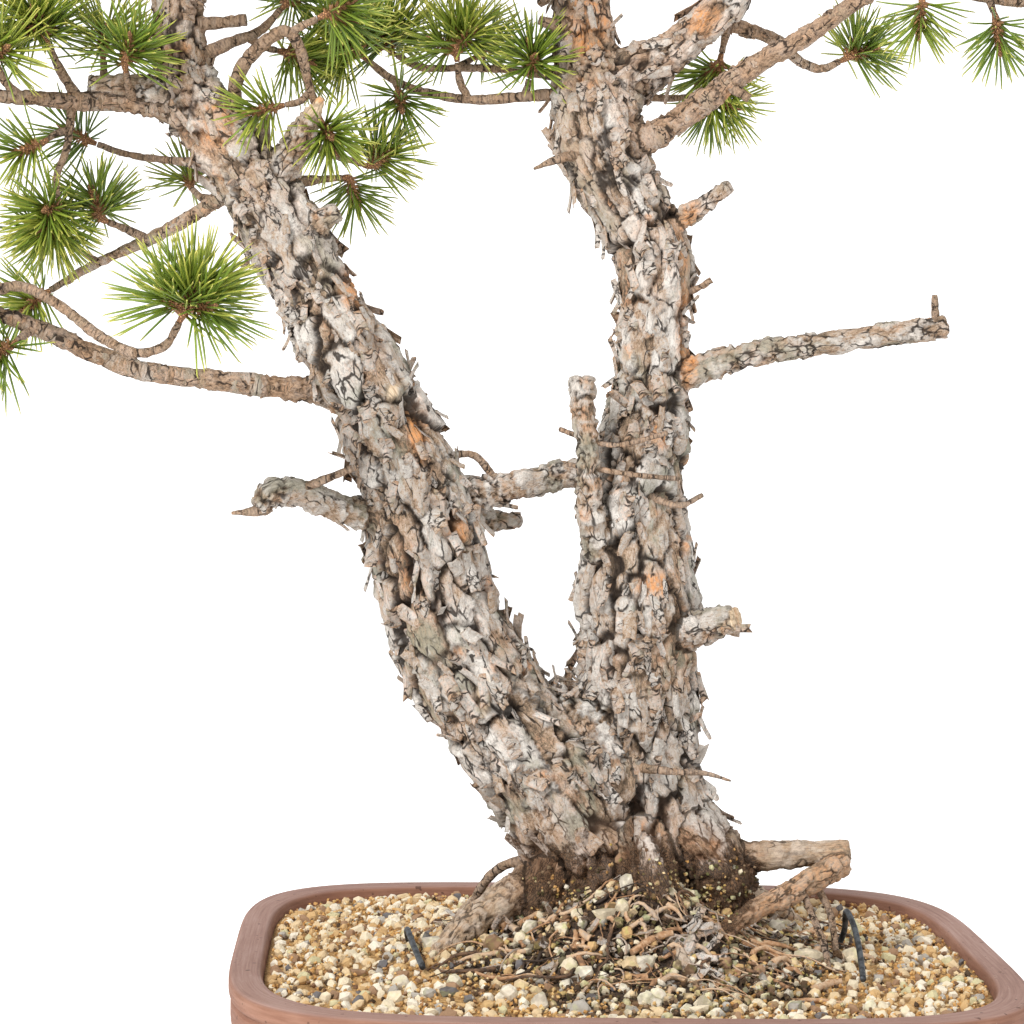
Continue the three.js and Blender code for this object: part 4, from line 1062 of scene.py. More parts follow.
# Boughs, each with the spray of needles that its end carries.
BOUGHS: dict[str, tuple[Place, ...]] = {
    "low_left": (
        (-144, -9, 368, 8), (-170, -16, 370, 5.6), (-209, -24, 374, 5), (-241, -33, 378, 4.8),
        (-265, -40, 388, 4.8), (-286, -48, 397, 4.5), (-301, -54, 402, 3.6), (-322, -61, 409, 2.2),
    ),
    "left": (
        (-222, 4, 504, 7), (-246, 0, 508, 5), (-269, -9, 507, 4.4), (-287, -19, 507, 3.9),
        (-305, -28, 507, 3.2), (-328, -37, 509, 2.2),
    ),
    "drop": (
        (-195, 0, 467, 5), (-214, 7, 455, 3.6), (-234, 16, 444, 3.2), (-265, 27, 430, 2.5),
        (-288, 36, 417, 1.8),
    ),
    "hanging": ((-273, -11, 507, 2.6), (-275, -15, 485, 2), (-280, -17, 468, 1.9), (-279, -17, 460, 1.7)),
    "arched": (
        (-196, -4, 500, 4.4), (-193, -17, 520, 3.6), (-183, -25, 533, 3.4), (-170, -28, 541, 3.2),
        (-164, -24, 535, 2.8), (-159, -18, 518, 2.2), (-154, -12, 503, 1.7),
    ),
    "long_front": (
        (-26, 22, 520, 4), (-58, 26, 517, 2.7), (-80, 31, 516, 2.5), (-104, 34, 520, 2.4),
        (-119, 35, 526, 2), (-131, 35, 535, 1.7),
    ),
    "long_back": (
        (-28, 30, 528, 3), (-58, 38, 532, 2.4), (-84, 42, 533, 2), (-104, 45, 533, 1.9),
        (-116, 47, 539, 1.6),
    ),
    "right": (
        (-6, 17, 488, 9), (24, 8, 506, 6.2), (45, 2, 522, 5.8), (62, -2, 534, 5), (83, -9, 546, 4.5),
        (106, -16, 562, 4.3), (128, -21, 574, 4), (152, -25, 569, 3.4), (176, -27, 564, 3),
        (200, -28, 561, 2.6), (218, -28, 553, 1.8),
    ),
    "fork_back": (
        (32, 20, 551, 5), (50, 33, 556, 4), (78, 48, 550, 3.4), (90, 53, 541, 2.6), (102, 57, 538, 2.2),
        (111, 58, 542, 1.8),
    ),
}

# Each spray: its twig's points or the limb it ends, the way it points, how many shoots it has and
# how long its needles are.
SPRAYS: tuple[tuple[tuple[Place, ...] | str, Place, int, float], ...] = (
    (
        (
            (-312, -58, 406, 3), (-300, -62, 414, 2.7), (-288, -68, 415, 2.6), (-270, -77, 406, 2.6),
            (-250, -90, 392, 2.6), (-233, -101, 385, 2.5), (-219, -110, 389, 2.2), (-213, -114, 399, 1.8),
        ),
        (0.45, -0.35, 0.85), 4, 33,
    ),
    ("low_left", (-0.9, -0.2, 0.4), 3, 30),
    (((-286, -48, 397, 3), (-290, -53, 393, 2.2), (-293, -57, 390, 1.7)), (-0.5, -0.6, -0.4), 2, 30),
    ("left", (-1, -0.1, 0.2), 2, 29),
    (((-270, -9, 507, 3), (-279, -13, 522, 2.4), (-284, -15, 532, 1.8)), (-0.3, -0.2, 1), 3, 30),
    (((-297, -24, 507, 2.8), (-303, -30, 514, 2.2), (-306, -34, 520, 1.8)), (-0.4, -0.5, 0.8), 2, 29),
    (((-256, -4, 508, 3), (-259, 3, 519, 2.4), (-260, 6, 528, 1.8)), (0.1, 0.35, 1), 2, 29),
    (((-244, 0, 508, 3), (-246, -10, 514, 2.2), (-247, -16, 521, 1.8)), (0.2, -0.7, 0.9), 2, 27),
    ("hanging", (-0.5, -0.3, -0.8), 3, 28),
    (((-274, -13, 493, 2), (-280, -15, 491, 1.7), (-284, -17, 488, 1.5)), (-0.9, -0.2, -0.4), 1, 25),
    (((-238, 17, 442, 2.4), (-249, 13, 447, 2), (-257, 8, 450, 1.7)), (-0.3, -0.3, 0.9), 2, 27),
    (((-264, 27, 431, 2), (-272, 22, 436, 1.8), (-279, 18, 439, 1.6)), (-0.8, -0.2, 0.5), 2, 27),
    ("drop", (-0.8, 0.4, -0.3), 2, 27),
    (
        ((-200, 8, 480, 3), (-232, 20, 482, 2), (-252, 21, 485, 1.8), (-264, 20, 489, 1.6)),
        (-0.8, 0.2, 0.4), 1, 25,
    ),
    (((-206, 4, 461, 3), (-213, 18, 464, 2), (-217, 28, 468, 1.6)), (-0.2, 0.8, 0.7), 1, 24),
    ("arched", (0.5, 0.2, -0.9), 2, 25),
    (((-158, -16, 514, 2), (-163, -14, 509, 1.8), (-170, -15, 507, 1.6)), (-0.7, -0.3, -0.2), 1, 24),
    (
        ((-216, 3, 530, 4), (-197, 4, 539, 3), (-184, 8, 545, 2.5), (-174, 11, 556, 1.8)), (0.3, 0.2, 1),
        3, 30,
    ),
    (((-190, 6, 542, 2.6), (-182, 14, 538, 2), (-176, 18, 537, 1.7)), (0.7, 0.5, -0.1), 2, 28),
    (((-168, -27, 540, 2.4), (-161, -30, 544, 2), (-155, -30, 547, 1.7)), (0.8, -0.2, 0.4), 2, 28),
    ("long_front", (-0.8, -0.1, 0.6), 3, 30),
    (((-118, 35, 526, 2), (-116, 28, 521, 1.6)), (0.1, -0.7, -0.6), 1, 27),
    ("long_back", (-0.2, 0.1, 1), 3, 30),
    (((-80, 31, 516, 2.4), (-85, 30, 526, 2), (-86, 29, 534, 1.7)), (0, -0.1, 1), 3, 29),
    (((-86, 41, 533, 2), (-78, 46, 538, 1.6)), (0.5, 0.6, 0.5), 1, 26),
    (((-52, 25, 518, 2.2), (-50, 24, 526, 1.7)), (-0.1, -0.3, 1), 2, 27),
    (
        ((-172, 8, 474, 3), (-158, 14, 489, 2.5), (-147, 18, 486, 2), (-133, 22, 482, 1.7)),
        (0.75, 0, 0.45), 2, 27,
    ),
    (((-174, 4, 470, 4), (-151, 19, 474, 2), (-143, 22, 475, 1.6)), (0.3, 0.4, -0.8), 1, 25),
    (((-4, 26, 520, 3), (19, 33, 519, 2), (39, 41, 521, 1.6)), (0.9, 0.3, -0.3), 2, 26),
    (((50, 33, 556, 2.6), (49, 36, 549, 2), (48, 38, 543, 1.7)), (0.1, 0.2, -1), 2, 27),
    ("fork_back", (0.5, 0.1, 0.8), 2, 27),
    (((132, -22, 573, 2.6), (136, -24, 566, 1.7)), (-0.1, -0.1, -1), 1, 26),
    (((170, -27, 565, 2.4), (172, -29, 558, 1.7)), (0.1, -0.2, -1), 1, 26),
    (((188, -28, 563, 2.4), (192, -22, 567, 2), (196, -17, 572, 1.7)), (0.3, 0.5, 0.8), 2, 27),
    ("right", (0.1, -0.1, -1), 3, 28),
    (
        ((-226, 8, 585, 6), (-258, -24, 598, 4), (-290, -50, 606, 3), (-313, -68, 612, 1.9)),
        (-0.7, -0.4, 0.6), 3, 31,
    ),
    (((-266, -30, 600, 3), (-256, -62, 610, 2.4), (-250, -90, 616, 1.8)), (0.1, -0.7, 0.8), 3, 30),
    (((-230, 10, 600, 5), (-242, 54, 610, 3.6), (-254, 100, 616, 1.9)), (-0.1, 0.8, 0.6), 3, 31),
    (((-232, 11, 606, 5), (-198, -14, 620, 3.4), (-172, -38, 628, 1.9)), (0.8, -0.2, 0.7), 3, 31),
    (((-240, 13, 628, 4), (-206, 36, 640, 3), (-186, 62, 646, 1.9)), (0.1, -0.7, 0.8), 3, 30),
    ("trunk_0", (-0.3, 0.1, 1), 3, 31),
    (
        ((-22, 30, 600, 6), (-56, -8, 616, 4), (-86, -42, 626, 3), (-104, -64, 630, 1.9)),
        (-0.7, -0.4, 0.6), 3, 31,
    ),
    (((-19, 30, 615, 5.5), (-34, 76, 628, 3.6), (-46, 118, 634, 1.9)), (-0.1, 0.8, 0.6), 3, 31),
    (((-10, 26, 645, 5), (10, -18, 656, 3.4), (22, -60, 662, 1.9)), (0.4, -0.6, 0.7), 3, 30),
    (((-8, 24, 660, 4.5), (-42, 34, 672, 3), (-70, 44, 680, 1.9)), (-0.7, 0.2, 0.7), 3, 30),
    ("trunk_1", (0.1, 0, 1), 3, 31),
    (((66, 12, 598, 5), (92, -26, 610, 3.4), (112, -62, 614, 1.9)), (0.6, -0.5, 0.6), 3, 31),
    (((72, 11, 610, 5), (92, 52, 622, 3.2), (104, 92, 626, 1.9)), (0.3, 0.8, 0.6), 3, 31),
    ("trunk_2", (0.2, -0.2, 1), 3, 31),
)

# The tie wire's line, without a radius.
WIRE_POINTS: tuple[Place, ...] = (
    (-98, -80, 99.5), (-102, -52, 104), (-105, -24, 106.5), (-104, -10, 98), (-97, -1, 76),
    (-92, 4.5, 50), (-92, 4.5, 24), (-86, 4.5, 14), (-75, 4.5, 9.2), (-50, 4.5, 9), (0, 4.5, 9),
    (50, 4.5, 9), (75, 4.5, 9.2), (86, 4.5, 14), (92, 4.5, 24), (94, 3, 50), (104, -3, 80),
    (112, -11, 104), (111, -23, 117), (112, -38, 114), (112, -54, 107.5), (111, -70, 101.5),
    (109, -88, 97),
)


@dataclass(frozen=True)
class View:
    """The view that the photograph shows.

    Attributes:
        place: Where it is seen from, in millimetres from the pot's middle on the ground.
        heading: How far the view turns towards +X from +Y, in radians.
        dip: How far it looks down, in radians.
        roll: How far the picture's right side is raised, in radians.
        lens: Focal length on a sensor as wide as sensor_width.
        sensor_width: The sensor's width.
        picture_side: The picture's side in pixels.
    """

    place: Place = (-119.5, -1409.1, 375.4)
    heading: float = 0.045
    dip: float = 0.046
    roll: float = 0.017
    lens: float = 100.3
    sensor_width: float = 36.0
    picture_side: float = 1024.0

    def axes(self) -> tuple[Array, Array, Array]:
        """The ways of the picture's right side, of its top and of the look into it.

        Returns:
            The three directions.
        """
        ahead = np.array([math.sin(self.heading), math.cos(self.heading), 0.0])
        right = np.array([math.cos(self.heading), -math.sin(self.heading), 0.0])
        forward = ahead * math.cos(self.dip) - np.array([0, 0, math.sin(self.dip)])
        up = ahead * math.sin(self.dip) + np.array([0, 0, math.cos(self.dip)])
        side = right * math.cos(self.roll) + up * math.sin(self.roll)
        return side, up * math.cos(self.roll) - right * math.sin(self.roll), forward

    def place_at(self, pixel: Place, height: Callable[[Array, Array], Array]) -> Place:
        """Finds where something that lies on a surface is, from where it shows in the picture.

        Args:
            pixel: How far across and down it shows.
            height: Gives the surface's height for rows of x and y.

        Returns:
            Its x and y in millimetres.
        """
        side, top, forward = self.axes()
        reach = self.lens / self.sensor_width * self.picture_side
        across, down = (value - self.picture_side / 2 for value in pixel)
        way = forward + side * across / reach - top * down / reach
        depth = np.arange(-165.0, 0.0, 0.5)
        steps = (depth - self.place[1]) / way[1]
        points = np.array(self.place) + steps[:, None] * way
        reached = points[:, 2] <= height(points[:, 0], points[:, 1])
        first = int(np.argmax(reached)) if reached.any() else -1
        return float(points[first, 0]), float(points[first, 1])


VIEW = View()


@dataclass(frozen=True)
class Stone:
    """A single stone on the soil.

    Attributes:
        pixel: How far across and down it shows in the picture.
        half: Its half sizes.
        hue: The share that picks its colour.
    """

    pixel: Place
    half: Place
    hue: float


@dataclass(frozen=True)
class RootBit:
    """A bit of root that lies on the soil.

    Attributes:
        pixels: Where it shows in the picture, from end to end.
        radius: Its radius.
        hue: The share that picks its colour.
    """

    pixels: tuple[Place, ...]
    radius: float
    hue: float


STONES = (
    Stone((436, 949), (8, 6, 6.5), 0.65), Stone((495, 949), (6, 4.5, 5.5), 0.92),
    Stone((449, 994), (6, 3.5, 2.6), 0.98), Stone((430, 995), (4.5, 3, 2.5), 0.8),
    Stone((391, 935), (5, 3, 2), 0.92), Stone((359, 974), (5, 3, 2.2), 0.91),
    Stone((659, 1000), (5, 4, 4.5), 0.65), Stone((647, 1002), (5, 4, 4), 0.66),
    Stone((585, 976), (6, 5, 4), 0.64), Stone((570, 970), (5, 5, 5), 0.05),
    Stone((645, 966), (6, 5, 5), 0.67), Stone((510, 997), (5, 4.5, 4.5), 0.66),
    Stone((540, 1007), (4.5, 4, 6), 0.62), Stone((530, 932), (5, 5, 5), 0.63),
    Stone((520, 942), (4, 4, 4.5), 0.1), Stone((606, 917), (8, 4, 4), 0.07),
    Stone((810, 959), (11, 6, 4), 0.08), Stone((852, 962), (7, 6, 6), 0.1),
    Stone((777, 922), (6, 5, 4.5), 0.68), Stone((580, 1012), (6, 4, 5), 0.8),
    Stone((795, 1012), (4, 4, 5), 0.79), Stone((623, 912), (4, 3, 5), 0.12),
    Stone((626, 886), (4, 3, 5), 0.64), Stone((587, 884), (3.5, 3, 3.5), 0.68),
    Stone((633, 966), (6, 4, 4), 0.3), Stone((700, 1012), (6, 3, 3), 0.08),
    Stone((455, 985), (4, 4, 4), 0.66), Stone((402, 985), (5, 4, 4), 0.66),
    Stone((395, 1003), (5, 4, 5), 0.1), Stone((870, 1010), (4, 4, 4), 0.7),
)

ROOT_BITS = (
    RootBit(((519, 927), (536, 917), (555, 907)), 1.9, 0.62),
    RootBit(((502, 930), (512, 920), (522, 908)), 2.5, 0.5),
    RootBit(((550, 927), (558, 915), (567, 902)), 1.3, 0.55),
    RootBit(((630, 930), (655, 915), (680, 907)), 1.3, 0.78),
    RootBit(((632, 956), (652, 942), (672, 936)), 2.2, 0.6),
    RootBit(((560, 955), (570, 948), (592, 950)), 1.2, 0.66),
    RootBit(((742, 945), (762, 952), (782, 962)), 1.7, 0.52),
    RootBit(((815, 992), (828, 987), (840, 985)), 2.2, 0.7),
    RootBit(((792, 1002), (818, 1002), (842, 1005)), 1.2, 0.6),
    RootBit(((530, 905), (542, 898), (555, 890)), 1.7, 0.8),
    RootBit(((692, 900), (705, 889), (735, 893)), 1.4, 0.7),
    RootBit(((420, 942), (450, 925), (482, 912)), 1.2, 0.72),
    RootBit(((432, 950), (462, 930), (490, 918)), 1.2, 0.8),
    RootBit(((455, 948), (480, 932), (500, 925)), 1.4, 0.7),
    RootBit(((660, 985), (672, 978), (686, 982)), 1.7, 0.75),
    RootBit(((545, 985), (556, 968), (560, 950)), 0.9, 0.85),
    RootBit(((575, 1003), (590, 985), (600, 975)), 0.8, 0.8),
    RootBit(((735, 970), (760, 975), (790, 990)), 1.1, 0.4),
)

# A loose sliver of bark low on the right trunk, and the middle of the bits caught in the fork.
SLIVER: tuple[Place, ...] = (
    (8, -28, 188, 2.6), (24, -36, 187, 1.8), (38, -40, 187, 1.3), (50, -44, 184, 0.6),
)
FORK: Place = (-27, -2, 223)


class ShapeTree(Bench):
    """A Geometry Nodes tree with named inputs, put together in code."""

    def __init__(self, name: str, inputs: Mapping[str, object]) -> None:
        """Starts a tree that takes a shape and gives a shape.

        Args:
            name: The tree's name.
            inputs: Each other input's usual value, or its socket type where it has none.
        """
        super().__init__(bpy.data.node_groups.new(name, "GeometryNodeTree"))
        face = self.tree.interface
        for way in ("INPUT", "OUTPUT"):
            face.new_socket("Shape", in_out=way, socket_type="NodeSocketGeometry")
        kinds = {int: "Int", float: "Float"}
        for label, value in inputs.items():
            kind = kinds.get(type(value), value)
            made = face.new_socket(label, in_out="INPUT", socket_type=f"NodeSocket{kind}")
            if kind != value:
                made.default_value = value
        self.entry = self.tree.nodes.new("NodeGroupInput")
        self.exit = self.tree.nodes.new("NodeGroupOutput")

    def step(self, kind: str, inputs: Mapping[int | str, object], **settings: object) -> Socket:
        """Adds a node with its inputs and its settings, and gives its first output."""
        return self.node(kind, settings, inputs).outputs[0]

    def given(self, name: str) -> Socket:
        """The value of a named input inside the tree."""
        return self.entry.outputs[name]

    def stored(self, name: str, kind: str = "FLOAT") -> Socket:
        """An attribute that the shape carries."""
        return self.step("GeometryNodeInputNamedAttribute", {"Name": name}, data_type=kind)

    def turned(self, rotation: Socket, axis: Place, angle: object) -> Socket:
        """A rotation with one more turn about an axis of its own."""
        turn = self.step("FunctionNodeAxisAngleToRotation", {"Axis": axis, "Angle": angle})
        inputs = {"Rotation": rotation, "Rotate By": turn}
        return self.step("FunctionNodeRotateRotation", inputs, rotation_space="LOCAL")

    def stood(self, points: Socket, pick: Socket, rotation: Socket, size: Socket) -> Socket:
        """Stands a shape of the given store on each point.

        Args:
            points: The points.
            pick: The number of each point's shape.
            rotation: How each stands.
            size: How large each is.

        Returns:
            The copies.
        """
        store = {"Collection": self.given("Shapes"), "Separate Children": True, "Reset Children": True}
        shapes = self.step("GeometryNodeCollectionInfo", store)
        inputs = {
            "Points": points, "Instance": shapes, "Pick Instance": True, "Instance Index": pick,
            "Rotation": rotation, "Scale": size,
        }
        return self.step("GeometryNodeInstanceOnPoints", inputs)

    def close(self, shape: Socket) -> "ShapeTree":
        """Ends the tree: all copies are made real and get the finish."""
        real = self.step("GeometryNodeRealizeInstances", {0: shape})
        inputs = {"Geometry": real, "Material": self.given("Finish")}
        self.tree.links.new(self.step("GeometryNodeSetMaterial", inputs), self.exit.inputs[0])
        return self

    def grow(self, name: str, source: Piece, inputs: Mapping[str, object]) -> Piece:
        """Runs the tree on a shape and keeps the result as a plain mesh.

        Args:
            name: The new piece's name.
            source: The shape it grows on, which is used up.
            inputs: A value for each named input.

        Returns:
            The plain piece.
        """
        modifier = source.modifiers.new(name, "NODES")
        modifier.node_group = self.tree
        sockets = (item for item in self.tree.interface.items_tree if item.item_type == "SOCKET")
        identifiers = {item.name: item.identifier for item in sockets if item.in_out == "INPUT"}
        for label, value in inputs.items():
            modifier[identifiers[label]] = value
        return baked_copy(name, source)


def tube_tree() -> ShapeTree:
    """A tree that turns lines with a stored thickness into round tubes.

    Returns:
        The tree.
    """
    usual = {"Sides": 6, "Step": 0.003, "Roughness": 0.0, "Grain": 300.0, "Finish": "Material"}
    tree = ShapeTree("tubes_along_lines", usual)
    curve = tree.step("GeometryNodeMeshToCurve", {0: tree.given("Shape")})
    inputs = {"Curve": curve, "Length": tree.given("Step")}
    cut = tree.step("GeometryNodeResampleCurve", inputs, mode="LENGTH")
    inputs = {"Resolution": tree.given("Sides"), "Radius": 1.0}
    ring = tree.step("GeometryNodeCurvePrimitiveCircle", inputs)
    thickness = tree.stored("thickness")
    inputs = {"Curve": cut, "Profile Curve": ring, "Scale": thickness, "Fill Caps": True}
    skin = tree.step("GeometryNodeCurveToMesh", inputs)
    place = tree.step("GeometryNodeInputPosition", {})
    inputs = {"Vector": place, "Scale": tree.given("Grain"), "Detail": 2.0}
    wave = tree.value(tree.node("ShaderNodeTexNoise", None, inputs))
    lift = (wave - 0.5) * tree.given("Roughness") * Value(tree, thickness)
    inputs = {0: tree.step("GeometryNodeInputNormal", {}), "Scale": lift}
    push = tree.step("ShaderNodeVectorMath", inputs, operation="SCALE")
    rough = tree.step("GeometryNodeSetPosition", {"Geometry": skin, "Offset": push})
    return tree.close(tree.step("GeometryNodeSetShadeSmooth", {"Geometry": rough}))


def tubes(
    name: str, corners: Sequence[Array], edges: Sequence[Place], marks: Mapping[str, Array],
    inputs: Mapping[str, object],
) -> Piece:
    """Makes round tubes along lines.

    Args:
        name: The piece's name.
        corners: The lines' places, in millimetres from the pot's middle.
        edges: Which places are joined.
        marks: The thickness in metres at each place, and what else is stored there.
        inputs: A value for each named input of the tree of tubes.

    Returns:
        The piece.
    """
    mesh = bpy.data.meshes.new(name + "_lines")
    mesh.from_pydata((np.array(corners) * MM + CENTRE).tolist(), edges, [])
    for key, values in marks.items():
        mark(mesh, key, values)
    return tube_tree().grow(name, linked(name + "_lines", mesh), inputs)


def standing_tree() -> ShapeTree:
    """A tree that stands a picked shape on each point, along the point's own direction.

    Returns:
        The tree.
    """
    tree = ShapeTree("shapes_on_points", {"Shapes": "Collection", "Finish": "Material"})
    points = tree.step("GeometryNodeMeshToPoints", {0: tree.given("Shape")})
    inputs = {"Vector": tree.stored("way", "FLOAT_VECTOR")}
    stand = tree.step("FunctionNodeAlignRotationToVector", inputs, axis="Z")
    turned = tree.turned(stand, (0, 0, 1), tree.stored("spin"))
    size = tree.stored("size", "FLOAT_VECTOR")
    return tree.close(tree.stood(points, tree.stored("kind", "INT"), turned, size))


def flake_tree() -> ShapeTree:
    """A tree that sets half-loose flakes on bark, along the limb and peeling from it.

    Returns:
        The tree.
    """
    usual = {
        "Shapes": "Collection", "Density": 20000.0, "Seed": 3, "Least Peel": 0.1, "Most Peel": 0.7,
        "Smallest": 0.6, "Largest": 1.6, "Finish": "Material",
    }
    tree = ShapeTree("loose_flakes", usual)

    def random(low: object, high: object, salt: int, kind: str = "FLOAT") -> Socket:
        """A random number for each flake."""
        first, second, output = {"FLOAT": (2, 3, 1), "INT": (4, 5, 2)}[kind]
        inputs = {first: low, second: high, "Seed": salt}
        return tree.node("FunctionNodeRandomValue", {"data_type": kind}, inputs).outputs[output]

    inputs = {
        "Mesh": tree.given("Shape"), "Seed": tree.given("Seed"),
        "Density": Value(tree, tree.stored("flaky")) * tree.given("Density"),
    }
    spread = tree.node("GeometryNodeDistributePointsOnFaces", None, inputs)
    inputs = {"Rotation": spread.outputs["Rotation"], "Vector": tree.stored("grow_way", "FLOAT_VECTOR")}
    upright = tree.step("FunctionNodeAlignRotationToVector", inputs, axis="Y", pivot_axis="Z")
    half_turn = Value(tree, random(0, 1, 5, "INT")) * math.pi + random(-0.5, 0.5, 6)
    turned = tree.turned(upright, (0, 0, 1), half_turn)
    turned = tree.turned(turned, (1, 0, 0), random(tree.given("Least Peel"), tree.given("Most Peel"), 7))
    reach = (tree.given("Smallest"), tree.given("Largest"))
    size = tree.step("ShaderNodeCombineXYZ", {0: random(*reach, 8), 1: random(*reach, 9), 2: 1.0})
    placed = tree.stood(spread.outputs[0], random(0, 3, 10, "INT"), turned, size)
    inputs = {"Geometry": placed, "Name": "tint", "Value": random(0.0, 1.0, 11)}
    settings = {"data_type": "FLOAT", "domain": "INSTANCE"}
    return tree.close(tree.step("GeometryNodeStoreNamedAttribute", inputs, **settings))


def shape_store(name: str, shapes: Sequence[Piece]) -> Store:
    """Keeps shapes that will be repeated out of the scene, in one collection.

    Args:
        name: The collection's name.
        shapes: The shapes.

    Returns:
        The collection.
    """
    store = bpy.data.collections.new(name)
    for shape in shapes:
        for home in shape.users_collection:
            home.objects.unlink(shape)
        store.objects.link(shape)
    return store


def clear_store(store: Store) -> None:
    """Removes a store and its shapes."""
    for shape in list(store.objects):
        bpy.data.objects.remove(shape)
    bpy.data.collections.remove(store)


# The wood


@dataclass(frozen=True)
class SkinLook:
    """How the surface of a kind of wood differs from trunk bark.

    Attributes:
        relief: How strongly its plates stand out.
        flaky: How many loose flakes it has.
        broken: How orange it is.
        bare: How bare of bark it is.
        young: How brown and thin-barked it is.
    """

    relief: float
    flaky: float
    broken: float
    bare: float
    young: float = 0.0


class Skin(Enum):
    """The kinds of wood surface."""

    BARK = SkinLook(1.0, 1.0, 0.0, 0.0)
    BURIED = SkinLook(1.0, 0.4, 0.0, 0.0)
    ROOT = SkinLook(0.6, 0.1, 0.05, 0.3, 0.5)
    RUBBED_ROOT = SkinLook(0.55, 0.05, 0.45, 0.25, 0.8)
    STUB = SkinLook(1.0, 0.8, 0.0, 0.0, 0.15)
    TWIG = SkinLook(0.9, 0.0, 0.1, 0.0, 0.9)


@dataclass(frozen=True)
class Patch:
    """A place where the surface is out of the ordinary.

    Attributes:
        centre: Its middle, in millimetres.
        reach: Its half sizes.
    """

    centre: Place
    reach: Place

    def share(self, points: Array) -> Array:
        """1 in the patch's middle and 0 outside it, for rows of places."""
        away = (points - np.array(self.centre)) / np.array(self.reach)
        return 1 - smooth(np.sqrt((away**2).sum(axis=1)), 0.55, 1.05)


@dataclass
class Surface:
    """Where each corner of a wooden mesh lies on its limb, in millimetres.

    Attributes:
        points: The corners.
        across: How far each lies from the limb's middle line, both ways across.
        run: How far along the limb each lies.
        girth: The limb's radius there.
        way: The limb's direction there.
        skin: The number of the limb's kind of surface.
        limb: The limb's number.
        beyond: How far each lies past the limb's cut end, or less than 0.
    """

    points: Array
    across: Array
    run: Array
    girth: Array
    way: Array
    skin: Array
    limb: Array
    beyond: Array


SKINS = list(Skin)


@dataclass
class BarkRelief:
    """Works out how bark stands out on a surface.

    Attributes:
        plate_width: A plate's width on a thick trunk.
        plate_length: Its length along the trunk.
        thickness: How far plates stand out on a thick trunk.
        crack_depth: How deep the cracks between plates go.
        broken_patches: Places with fresh orange breaks.
        bare_patches: Places without bark.
    """

    plate_width: float = 16.0
    plate_length: float = 40.0
    thickness: float = 3.4
    crack_depth: float = 4.6
    broken_patches: tuple[Patch, ...] = ()
    bare_patches: tuple[Patch, ...] = ()

    def plates(self, on: Surface) -> dict[str, Array]:
        """Finds relief and marks for each corner.

        Args:
            on: The surface.

        Returns:
            The lift in millimetres, and what the material reads.
        """
        slim = np.clip(on.girth / 26.0, 0.0, 1.0)
        width = self.plate_width * (0.34 + 0.66 * slim)
        length = self.plate_length * (0.3 + 0.7 * slim)
        grain = np.column_stack([on.across, on.run + 137.0 * on.limb])
        sway = np.stack([clouds(grain / 18.0, 31 + 5 * k, 2) for k in range(3)], axis=1)
        fray = np.stack([cloud(grain / 4.5, 51 + 5 * k) for k in range(3)], axis=1)
        cells = np.column_stack([on.across / width[:, None], grain[:, 2] / length])
        big = scales(cells + 0.42 * sway + 0.1 * fray, 11)
        small = scales(cells * np.array([2.1, 2.1, 2.5]) + 0.7 * sway + 0.26 * fray, 43)
        lobes = clouds(grain / np.array([9.0, 9.0, 19.0]), 71, 3)
        other = (big.tint * 37.7) % 1.0
        level = 0.9 * (smooth(big.tint, 0.1, 0.9) - 0.5) - (0.2 + 0.5 * other) * big.offset[:, 2]
        level += (other - 0.5) * (big.offset[:, 0] + big.offset[:, 1])
        level += 0.42 * (small.tint - 0.5) - 0.4 * small.offset[:, 2] + 0.3 * lobes
        open_share = 0.2 + 0.8 * smooth(clouds(grain / 26.0, 91, 2), -0.45, 0.2)
        crack = (1 - smooth(big.edge, 0.02, 0.18)) * open_share
        fine_crack = (1 - smooth(small.edge, 0.02, 0.12)) * (1.15 - open_share)
        # relief also paints shade: the bark finish gives its low places and cracks darker colours.
        relief = 0.5 + 0.55 * level - 0.3 * crack

        def of_skin(name: str) -> Array:
            """A look's number at each corner."""
            return np.array([getattr(skin.value, name) for skin in SKINS])[on.skin]

        strength = of_skin("relief")
        tall = np.clip((on.girth / 26.0) ** 0.7, 0.1, 1.1) * strength
        cut = smooth(on.beyond, -2.2, -0.8)
        lift = self.thickness * level - self.crack_depth * crack - 0.8 * fine_crack + 0.4
        lift = tall * lift * (1 - 0.85 * cut)
        broken = of_skin("broken")
        for patch in self.broken_patches:
            broken = np.maximum(broken, patch.share(on.points))
        broken = np.maximum(broken, 0.75 * smooth(clouds(grain / 13.0, 97, 3), 0.4, 0.62))
        bare = of_skin("bare")
        for patch in self.bare_patches:
            bare = np.maximum(bare, 0.9 * patch.share(on.points))
        # edge also sets where the bark finish paints shade into the cracks.
        edge = np.minimum(big.edge + 0.12 * (1 - open_share), small.edge * 0.9 + 0.07 + 0.08 * open_share)
        edge = edge + 0.06 * (1 - slim)
        # Darker towards the bottom near the trunks: the clinging soil and the painted shade at the foot.
        low = 1.1 * (1 - smooth(on.points[:, 2], 114, 176))
        soiled = low * (1 - smooth(np.hypot(on.points[:, 0] - 10, on.points[:, 1] + 8), 46, 76))
        flaky = of_skin("flaky") * smooth(on.girth, 6.0, 14.0) * (1 - cut)
        return {
            "lift": lift, "soiled": soiled, "relief": relief, "edge": np.where(strength < 0.4, 0.5, edge),
            "tint": big.tint * 0.6 + small.tint * 0.4,
            "broken": broken * (0.35 + 0.65 * smooth(small.tint, 0.25, 0.6)),
            "bare": np.maximum(bare, cut), "young": of_skin("young"), "grain": grain,
            "flaky": flaky * (1 - np.clip(1.6 * soiled, 0, 1)) * smooth(small.tint, 0.3, 0.7),
            "grow_way": on.way,
        }


